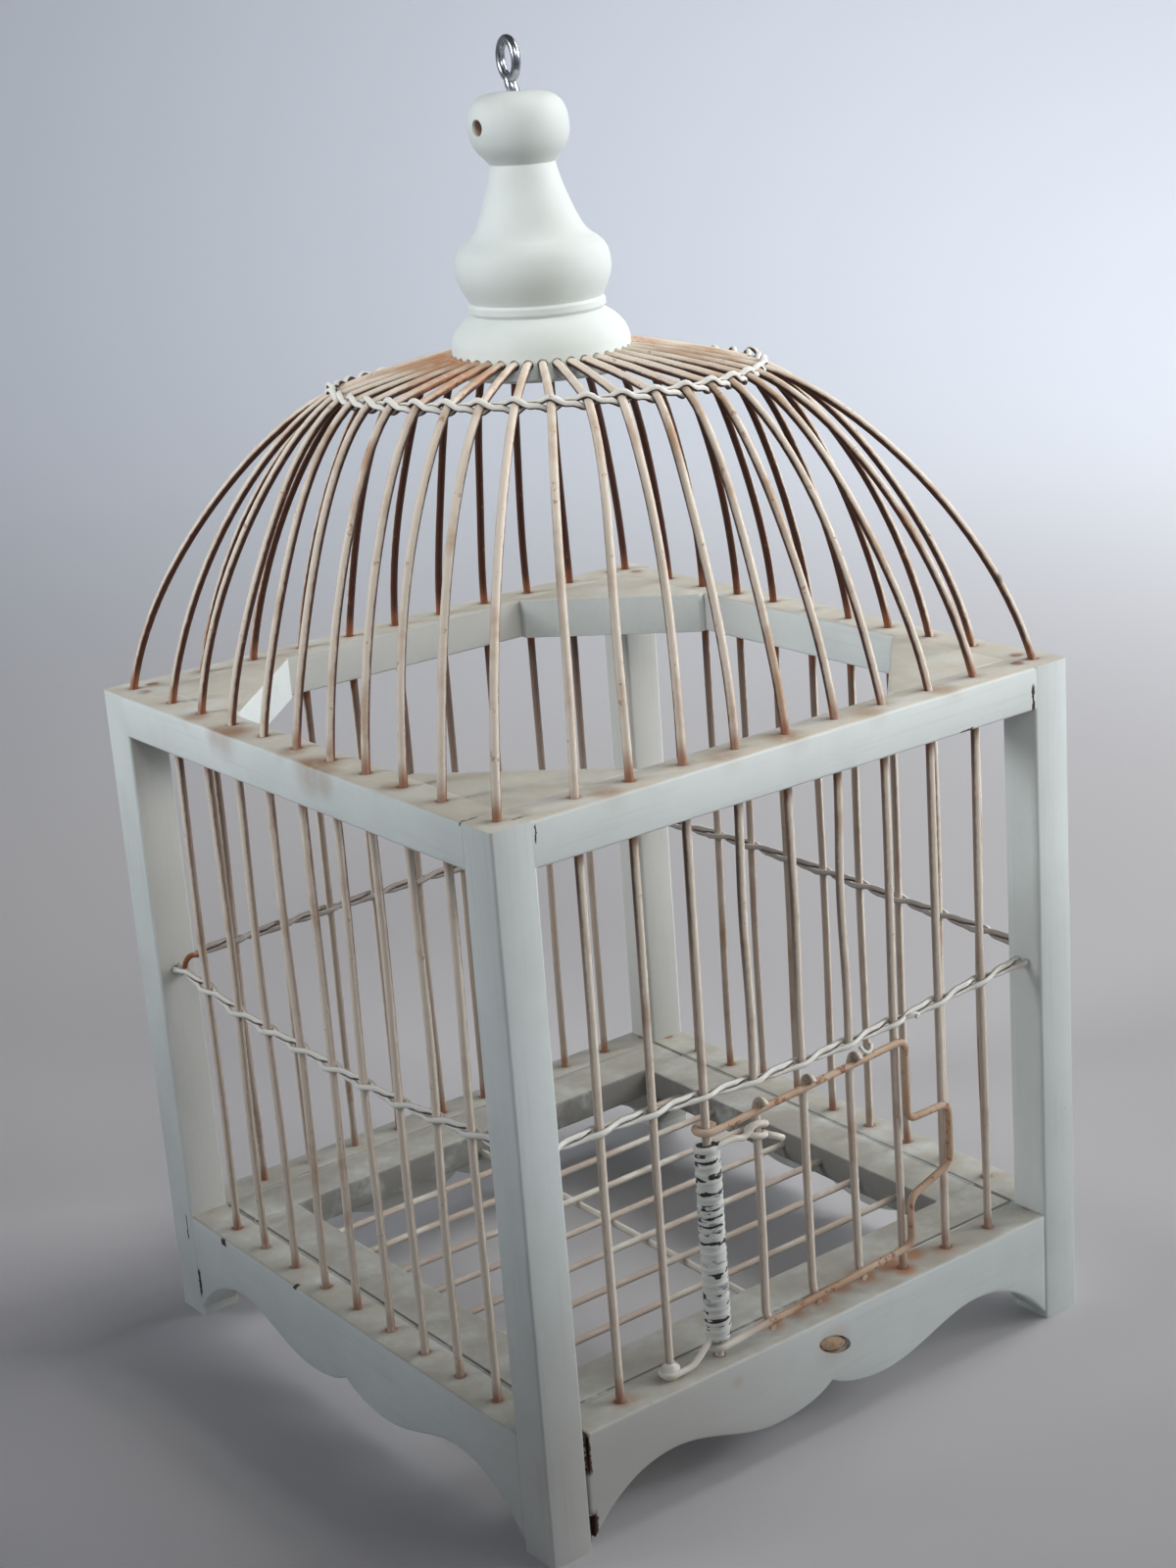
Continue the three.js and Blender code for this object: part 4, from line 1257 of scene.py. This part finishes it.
def bezier(controls, t):
    a, b, c, d = controls
    return a * (1 - t) ** 3 + 3 * b * (1 - t) ** 2 * t + 3 * c * (1 - t) * t * t + d * t ** 3


def polar(radius, angle, height):
    return Vector((radius * math.sin(angle), -radius * math.cos(angle), height))


def ringAngle(step):
    return (step - middleBar) * quarter / perQuarter


def ringShift(angle):
    return dome["ringLift"] + dome["ringSlope"] * math.cos(angle - dome["highSide"])


# Finial, turned from one piece: radius and height of its outline in millimetres, with arrises marked sharp.
# It was pushed in a little out of true.
finial = {
    "outline": [
        (0, 0, True), (23.9, 0, True), (25, 0.9, True), (25, 7.6, False), (24.4, 10.5, False),
        (22.4, 13.5, False), (19.6, 15.7, False), (18.2, 16.4, True), (19.1, 17.4, True), (19.1, 19, True),
        (18.6, 19.8, True), (18.9, 20.6, True), (20.2, 23, False), (21.4, 26.3, False), (21.6, 30, False),
        (20.5, 33.8, False), (18.4, 36, True), (16.7, 37.2, False), (15.3, 38.8, False), (13.9, 41.5, False),
        (12.6, 44.7, False), (10.4, 50.9, False), (9, 56.6, True), (9.7, 57.5, True), (12.3, 60.5, False),
        (13.6, 63.6, False), (13.9, 67, False), (13.4, 70.4, False), (11.8, 73.2, False), (8.8, 75, False),
        (4.8, 75.6, False), (0, 75.6, True),
    ],
    "turns": 80,
    "crossHole": 2.3 * mm,
    "crossHoleDepth": 5 * mm,
    "ballHeight": 67 * mm,
    "ballRadius": 13.8 * mm,
    "eyeHole": 1.85 * mm,
    "curveSteps": 4,
    "weld": 0.02 * mm,
    "socketExtra": 0.5 * mm,
    "socketGap": 0.15 * mm,
    "leanLimit": 1.3,
    "smoothAngle": 30,
    "leanAtBase": Vector((-1.03, 0.79, 0)) * mm,
    "lean": Vector((-1.75, 1.34, 0)) * mm,
}
finialTall = finialHigh.z - finialLow.z


def leaned(point, share=1):
    rise = max(0, min(finial["leanLimit"], (point.z - finialLow.z) / finialTall))
    return point + (finial["leanAtBase"] + finial["lean"] * rise) * share


def domeWirePoints(index, turn):
    footX = barX(index) if index < wires["perSide"] else barLine
    footRadius = math.hypot(footX, barLine)
    footAngle = math.atan2(footX, barLine) + turn
    angle = ringAngle(index) + turn
    ringHeight = dome["ringHeight"] + ringShift(angle)
    points = [polar(footRadius, footAngle, frameTop - wires["domeSeatDepth"] + wires["endGap"])]
    for step in range(dome["steps"] + 1):
        t = step / dome["steps"]
        radius = footRadius + (dome["ringRadius"] - footRadius) * bezier(dome["inShares"], t)
        height = frameTop + (ringHeight - frameTop) * bezier(dome["riseShares"], t)
        points.append(polar(radius, footAngle + (angle - footAngle) * t, height))
    rim = dome["rimRadius"]
    end = leaned(polar(rim + dome["rimClear"], angle, socketHeight))
    before = points[-1]
    for share in dome["archShares"]:
        points.append(before.lerp(end, share) + zAxis * dome["arch"] * math.sin(math.pi * share))
    return points + [end, leaned(polar(rim - dome["socketDepth"], angle, socketHeight))]


# Loose ends of the ring: angle from the front, and how the end stands
ringEnds = [
    {"angle": math.radians(-129), "start": -0.4, "end": 4.4, "radius": 2.1 * mm},
    {"angle": math.radians(-118), "start": 0.4, "end": 3.6, "radius": 1.7 * mm},
    {"angle": math.radians(64), "start": 2.4, "end": 6.6, "radius": 1.9 * mm},
    {"angle": math.radians(73), "start": 0.2, "end": 2.6, "radius": 2.2 * mm},
]


def makeDome():
    for side in sides:
        bends = [bowed(domeWirePoints(index, side["turn"]), dome["bow"]) for index in range(perQuarter)]
        wiresPiece = bendWires("domeWires", [evenWire(bend) for bend in bends])
        finishWire(wiresPiece, side["name"] + "DomeWiresPainted", domeWire, [side["name"] + "_dome_wires"])

    def line(step):
        angle = ringAngle(step)
        outward = polar(1, angle, 0)
        across = outward * math.sin(dome["tilt"]) + zAxis * math.cos(dome["tilt"])
        along = outward * math.cos(dome["tilt"]) - zAxis * math.sin(dome["tilt"])
        return polar(dome["ringRadius"], angle, dome["ringHeight"] + ringShift(angle)), across, along

    strands = [twined(line, 0, 4 * perQuarter, hand, dome["ringWire"]) for hand in (1, -1)]
    for loose in ringEnds:
        angle = loose["angle"]
        outward = polar(1, angle, 0)
        radius = loose["radius"]
        start = polar(dome["ringRadius"] + radius, angle, dome["ringHeight"] + ringShift(angle))
        sideways = (outward.cross(zAxis) + outward * dome["endSpread"]).normalized()
        bend = arc(start, sideways, zAxis, radius, loose["start"], loose["end"])
        strands.append(evenWire(bend, dome["endWire"]))
    ring = bendWires("domeRing", strands, 2)
    measureRope(ring, line, lambda point: math.atan2(point.x, -point.y) * perQuarter / quarter + middleBar)
    finishWire(ring, "domeRingTie", strandWire)


makeDome()
print("dome bent")


# The cross hole in the finial's ball, where bare wood shows
bore = {
    "middle": leaned(Vector((0, 0, finialLow.z + finial["ballHeight"]))),
    "reach": finial["ballRadius"],
    "radius": finial["crossHole"],
    "colour": "#b8a08e",
}
turnedWood = paintedPine("paintedTurnedPine", bore=bore)


# Spins a profile once round the upright axis and closes the seam
def spinWhole(piece, steps, weld, inside):
    spin = {"steps": steps, "angle": 2 * math.pi, "center": (0, 0, 0), "axis": (0, 0, 1)}
    reshape(piece, (bpy.ops.mesh.spin, spin), (bpy.ops.mesh.remove_doubles, {"threshold": weld}),
            (bpy.ops.mesh.normals_make_consistent, {"inside": inside}))


def makeFinial():
    bpy.ops.object.select_all(action="DESELECT")
    bpy.ops.curve.primitive_bezier_curve_add()
    turnedPiece = bpy.context.object
    spline = turnedPiece.data.splines[0]
    spline.bezier_points.add(len(finial["outline"]) - len(spline.bezier_points))
    turnedPiece.data.resolution_u = finial["curveSteps"]
    for point, (across, up, sharp) in zip(spline.bezier_points, finial["outline"]):
        point.handle_left_type = "VECTOR" if sharp else "AUTO"
        point.handle_right_type = "VECTOR" if sharp else "AUTO"
        point.co = (across * mm, 0, finialLow.z + up * mm)
    selectOnly(turnedPiece)
    bpy.ops.object.convert(target="MESH")
    turnedPiece = bpy.context.object
    spinWhole(turnedPiece, finial["turns"], finial["weld"], False)
    rim = dome["rimRadius"]
    depth = dome["socketDepth"] + finial["socketExtra"]
    socketRadius = holeRadius + finial["socketGap"]
    angles = [ringAngle(step) for step in range(4 * perQuarter)]
    sockets = [(polar(rim, angle, socketHeight), polar(1, angle, 0), socketRadius, 2 * depth)
               for angle in angles]
    ballHeight = finialLow.z + finial["ballHeight"]
    crossPlace = (-finial["ballRadius"], 0, ballHeight)
    crossHole = (crossPlace, xAxis, finial["crossHole"], 2 * finial["crossHoleDepth"])
    eyeHole = ((0, 0, finialHigh.z), zAxis, finial["eyeHole"], 2 * eye["shank"])
    drillWood(turnedPiece, sockets + [crossHole, eyeHole])
    for vertex in turnedPiece.data.vertices:
        vertex.co = leaned(vertex.co)
    finishPiece(turnedPiece, "finialPainted", turnedWood, nodes=["finial"],
                smoothAngle=finial["smoothAngle"])


# Screw eye of zinc-plated wire: an open ring on a short shank
eye = {
    "wire": 1.3 * mm,
    "neck": 1.7 * mm,
    "shift": Vector((-0.7, 0.5, 0.7)) * mm,
    "outer": 12.9 * mm,
    "stand": 1.4 * mm,
    "shank": 8 * mm,
    "start": -0.42 * math.pi,
    "end": 1.46 * math.pi,
    "turn": -math.pi / 15,
    "neckShare": 0.9,
    "shiftShares": (0, 0.4, 1),
}


def makeScrewEye():
    ring = eye["outer"] / 2 - eye["wire"]
    top = finialHigh.z
    middle = Vector((0, 0, top + eye["stand"] + eye["outer"] / 2))
    heights = (top - eye["shank"], top, top + eye["neckShare"] * eye["stand"])
    shank = zip([Vector((0, 0, height)) for height in heights], eye["shiftShares"])
    loop = arc(middle, yAxis, zAxis, ring, eye["start"], eye["end"], math.pi / 24)
    path = [(leaned(point + eye["shift"] * share), eye["neck"]) for point, share in shank]
    path += [(leaned(turned(point, eye["turn"]) + eye["shift"]), eye["wire"]) for point in loop]
    hook = bendWires("screwEye", [path], 5)
    finishWire(hook, "screwEyeZinc", zinc, ["screw_eye"])


makeFinial()
makeScrewEye()
print("finial turned")

# Door: a frame bent from one wire, hooked round the hinge wire, and three bars hooked round that frame.
# Its free side has a jog for the finger
door = {
    "reach": 2.8 * mm,
    "bottom": 38.55 * mm,
    "top": 102.9 * mm,
    "slope": 0.06,
    "jogFoot": 57.9 * mm,
    "jogBottom": 63.3 * mm,
    "jogTop": 82.3 * mm,
    "bend": 3 * mm,
    "wire": 1.12 * mm,
    "eyeTurn": 1.5 * math.pi,
    "hookReach": 2.3 * mm,
    "hookWire": 1.05 * mm,
    "hookTurn": 0.8 * math.pi,
    "lowHookTurn": 0.5 * math.pi,
    "bow": 0.25 * mm,
    "settle": 8 * mm,
}
hingeX = barX(hingeBar)
doorY = -barLine - door["reach"]


def rounded(corners, radius, steps=5):
    points = [corners[0]]
    for last, here, following in zip(corners, corners[1:], corners[2:]):
        inward = (last - here).normalized()
        outward = (following - here).normalized()
        centre = here + (inward + outward) * radius
        points += [centre - outward * radius * math.cos(a) - inward * radius * math.sin(a)
                   for a in [quarter * index / steps for index in range(steps + 1)]]
    return points + [corners[-1]]


def doorClimb(x):
    return door["slope"] * (x - hingeX)


def makeDoor():
    freeX = barX(latchBar) + wires["radius"]
    jogX = barX(jogBar)
    low = door["bottom"]
    high = door["top"]
    # x and z from the top of the hinge side, clockwise
    outline = [(hingeX, high), (freeX, high + doorClimb(freeX)), (freeX, door["jogTop"]),
               (jogX, door["jogTop"]), (jogX, door["jogBottom"]), (freeX, door["jogFoot"]),
               (freeX, low + doorClimb(freeX)), (hingeX, low)]
    corners = [Vector((x, doorY, z)) for x, z in outline]
    far = -quarter - door["eyeTurn"]
    topEye = arc(Vector((hingeX, -barLine, high)), xAxis, yAxis, door["reach"], far, -quarter)
    bottomEye = arc(Vector((hingeX, -barLine, low)), xAxis, yAxis, door["reach"], -quarter, far)
    path = evenWire(topEye[:-1] + rounded(corners, door["bend"]) + bottomEye[1:], door["wire"])
    frameWire = bendWires("doorFrame", [path])
    finishWire(frameWire, "doorFrameRusted", doorWire, ["door_frame"], "door")
    for index in range(hingeBar + 1, latchBar):
        x = barX(index)
        frameTopWire = Vector((x, doorY, high + doorClimb(x)))
        frameLowWire = Vector((x, doorY, low + doorClimb(x)))
        top = arc(frameTopWire, yAxis, zAxis, door["hookReach"], door["hookTurn"], 0)
        bottom = arc(frameLowWire, yAxis, zAxis, door["hookReach"], 0, -door["lowHookTurn"])
        reach = Vector((0, -barLine - top[-1].y, -door["settle"]))
        inner = [top[-1], top[-1] + reach, bottom[0] + Vector((0, reach.y, door["settle"])), bottom[0]]
        middle = bowed(smoothPath([tuple(point / mm) for point in inner], 8), door["bow"])
        hooks = [evenWire(hook, door["hookWire"]) for hook in (top[:-1], bottom[1:])]
        bar = bendWires("doorBar", [hooks[0] + evenWire(middle) + hooks[1]])
        number = index - hingeBar
        finishWire(bar, f"doorBar{number}Painted", frontBarWire, [f"door_bar_{number}"], "door")


makeDoor()
print("door hooked up")

# Height of each turn above the first: the bridged ones lie close, the open ones take up the rest
def turnHeights():
    weights = [1] * spring["turns"]
    for turn in spring["openTurns"]:
        weights[turn] += spring["openShare"]
    scale = spring["turns"] * spring["pitch"] / sum(weights)
    heights = [0]
    for weight in weights:
        heights.append(heights[-1] + weight * scale)
    return heights


def makeSpring():
    start = spring["start"]
    radius = spring["radius"]
    fixedBar = Vector((barX(hingeBar - 1), -barLine, spring["lowHook"]))
    heights = turnHeights()
    firstWave, secondWave = spring["pinchWaves"]
    coil = []
    for index in range(-spring["lead"], spring["turns"] * spring["perTurn"] + 1):
        turn, share = divmod(max(0, index) / spring["perTurn"], 1)
        low = heights[int(turn)]
        high = heights[min(int(turn) + 1, spring["turns"])]
        angle = -quarter + 2 * math.pi * index / spring["perTurn"]
        place = Vector((hingeX + radius * math.cos(angle), -barLine + radius * math.sin(angle),
                        start + low + (high - low) * share))
        pinch = math.sin(index * firstWave) * math.sin(index * secondWave + 1)
        coil.append((place, spring["thin"] if pinch > spring["pinchLimit"] else spring["wire"]))
    lowerHook = arc(fixedBar, xAxis, yAxis, spring["armReach"], quarter, 3 * quarter)
    lowerArm = smoothPath([tuple(lowerHook[-1] / mm)] + spring["lowArm"] + [tuple(coil[0][0] / mm)])
    lowerEnd = lowerHook[0] + xAxis * spring["lowHookEnd"]
    loopCentre = Vector((barX(hingeBar + 1), -barLine, spring["wave"][-1][2] * mm))
    upperLoop = arc(loopCentre, xAxis, yAxis, spring["armReach"], 0, 2 * math.pi)
    for index, point in enumerate(upperLoop):
        point.z -= spring["loopDrop"] * index / (len(upperLoop) - 1)
    wave = smoothPath([tuple(coil[-1][0] / mm)] + spring["wave"])
    tail = smoothPath([tuple(upperLoop[-1] / mm)] + spring["tail"])
    path = evenWire([lowerEnd] + lowerHook + lowerArm[1:-1], spring["armWire"]) + coil
    path += evenWire(wave[1:-1] + upperLoop + tail[1:], spring["armWire"])
    coilPiece = bendWires("doorSpring", [path], 3)
    top = heights[-1]
    bpy.ops.mesh.primitive_cylinder_add(vertices=40, radius=spring["paintReach"], depth=top,
                                        location=(hingeX, -barLine, start + top / 2))
    sleeve = bpy.context.object
    applyPlace(sleeve)
    coilPiece = joinPieces("doorSpring", [coilPiece, sleeve])
    finishWire(coilPiece, "doorSpringPainted", coilPaint, ["door_spring"], None)
    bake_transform(coilPiece)


# A blob of thick paint over the spring's lower hook
footBlob = {"size": (5.6 * mm, 5.2 * mm, 5.6 * mm), "height": 36.9 * mm, "lump": 3 * mm, "uneven": 1.4 * mm}


def makeFootBlob():
    place = (barX(hingeBar - 1), -barLine, footBlob["height"])
    bpy.ops.mesh.primitive_uv_sphere_add(segments=24, ring_count=16, radius=0.5, location=place)
    blob = bpy.context.object
    blob.scale = footBlob["size"]
    applyPlace(blob)
    lumps = bpy.data.textures.new("paintLumps", "CLOUDS")
    lumps.noise_scale = footBlob["lump"]
    modify(blob, "DISPLACE", texture=lumps, texture_coords="GLOBAL", strength=footBlob["uneven"],
           mid_level=0.5)
    finishWire(blob, "springFootPaint", pastePaint)


makeFootBlob()
makeSpring()
print("spring wound")


# Pale paper, painted darker near the cage as painted shade, that rises behind the cage on every side, and
# soft light, brightest from the upper right
studio = {
    "paperShadedNear": "#c1bfc0",
    "paperFar": "#cfd5de",
    "nearReach": 0.25,
    "farReach": 1.9,
    "flatReach": 1.3,
    "wallReach": 2.5,
    "wallTop": 1.9,
    "arcSteps": 12,
    "spinSteps": 96,
    "weld": 0.1 * mm,
    "world": "#c3c8d2",
    "worldStrength": 0.12,
    # name, place, aim, size, energy, colour and spread in degrees
    "lamps": [
        ("windowLight", (0.5, -0.5, 0.66), (0, 0, 0.2), 0.55, 1.03, "#fffcf6", 180),
        ("rightSideLight", (0.55, -0.35, 0.45), (0.12, -0.08, 0.26), 0.4, 0.27, "#f2f6ff", 36),
        ("leftSideLight", (-0.6, 0.3, 0.55), (-0.05, 0.08, 0.3), 0.4, 0.36, "#f6f9ff", 40),
        ("topLight", (-0.25, -0.5, 0.75), (0, 0, 0.38), 0.4, 0.15, "#fffdf8", 30),
        ("frontLight", (0.3, -0.6, 0.5), (0.06, -0.1, 0.24), 0.4, 0.08, "#fffdf8", 36),
        ("floorLight", (1.5, -0.1, 1.3), (1.15, 0.6, 0.05), 0.8, 15, "#ffffff", 120),
        ("paperLight", (1.2, 0.6, 1.2), (1.3, 1.8, 0.4), 0.8, 3.2, "#ffffff", 110),
        ("frontWallLight", (-0.5, -1.0, 1.2), (-0.9, -2.2, 0.5), 0.8, 3.2, "#ffffff", 120),
        ("leftWallLight", (-1.0, 0.5, 1.2), (-2.2, 0.9, 0.5), 0.8, 2.8, "#ffffff", 120),
        ("rightWallLight", (0.8, -0.9, 1.2), (1.5, -1.8, 0.5), 0.8, 4, "#ffffff", 120),
    ],
}


def makePaper():
    arcRadius = studio["wallReach"] - studio["flatReach"]
    profile = [(0, 0), (studio["flatReach"], 0)]
    for step in range(1, studio["arcSteps"] + 1):
        angle = quarter * step / studio["arcSteps"]
        profile.append((studio["flatReach"] + arcRadius * math.sin(angle), arcRadius * (1 - math.cos(angle))))
    profile.append((studio["wallReach"], studio["wallTop"]))
    bpy.ops.object.select_all(action="DESELECT")
    bpy.ops.mesh.primitive_circle_add(vertices=len(profile), radius=1)
    paper = bpy.context.object
    paper.name = "studioPaper"
    for vertex, (reach, height) in zip(paper.data.vertices, profile):
        vertex.co = (reach, 0, height)
    selectOnly(paper)
    bpy.ops.object.mode_set(mode="EDIT")
    bpy.ops.mesh.select_mode(type="EDGE")
    bpy.ops.mesh.select_all(action="DESELECT")
    bpy.ops.object.mode_set(mode="OBJECT")
    last = len(profile) - 1
    for edge in paper.data.edges:
        edge.select = set(edge.vertices) == {0, last}
    bpy.ops.object.mode_set(mode="EDIT")
    bpy.ops.mesh.delete(type="EDGE")
    bpy.ops.object.mode_set(mode="OBJECT")
    spinWhole(paper, studio["spinSteps"], studio["weld"], True)
    bpy.ops.object.shade_smooth()
    material, tree, shader, place = startMaterial("studioPaper", Roughness=0.95)
    reach = addNode(tree, "VectorMath", (place,), 1, operation="LENGTH")
    # painted shade: the paper is darker near the cage and paler far out
    far = (studio["paperFar"], (reach, studio["nearReach"], studio["farReach"]))
    tree.links.new(layCoats(tree, studio["paperShadedNear"], [far]), shader.inputs["Base Color"])
    paper.data.materials.append(material)


def makeLight():
    world = bpy.data.worlds.new("softRoom")
    bpy.context.scene.world = world
    world.use_nodes = True
    background = world.node_tree.nodes["Background"]
    background.inputs["Color"].default_value = linear(studio["world"])
    background.inputs["Strength"].default_value = studio["worldStrength"]
    for name, place, aim, size, energy, colour, spread in studio["lamps"]:
        bpy.ops.object.light_add(type="AREA", location=place)
        lamp = bpy.context.object
        lamp.name = name
        lamp.data.shape = "DISK"
        lamp.data.size = size
        lamp.data.energy = energy
        lamp.data.spread = math.radians(spread)
        lamp.data.color = linear(colour)[:3]
        lamp.rotation_euler = (Vector(aim) - Vector(place)).to_track_quat("-Z", "Y").to_euler()
    bpy.context.scene.view_settings.view_transform = "Standard"


makePaper()
makeLight()
print("studio lit")
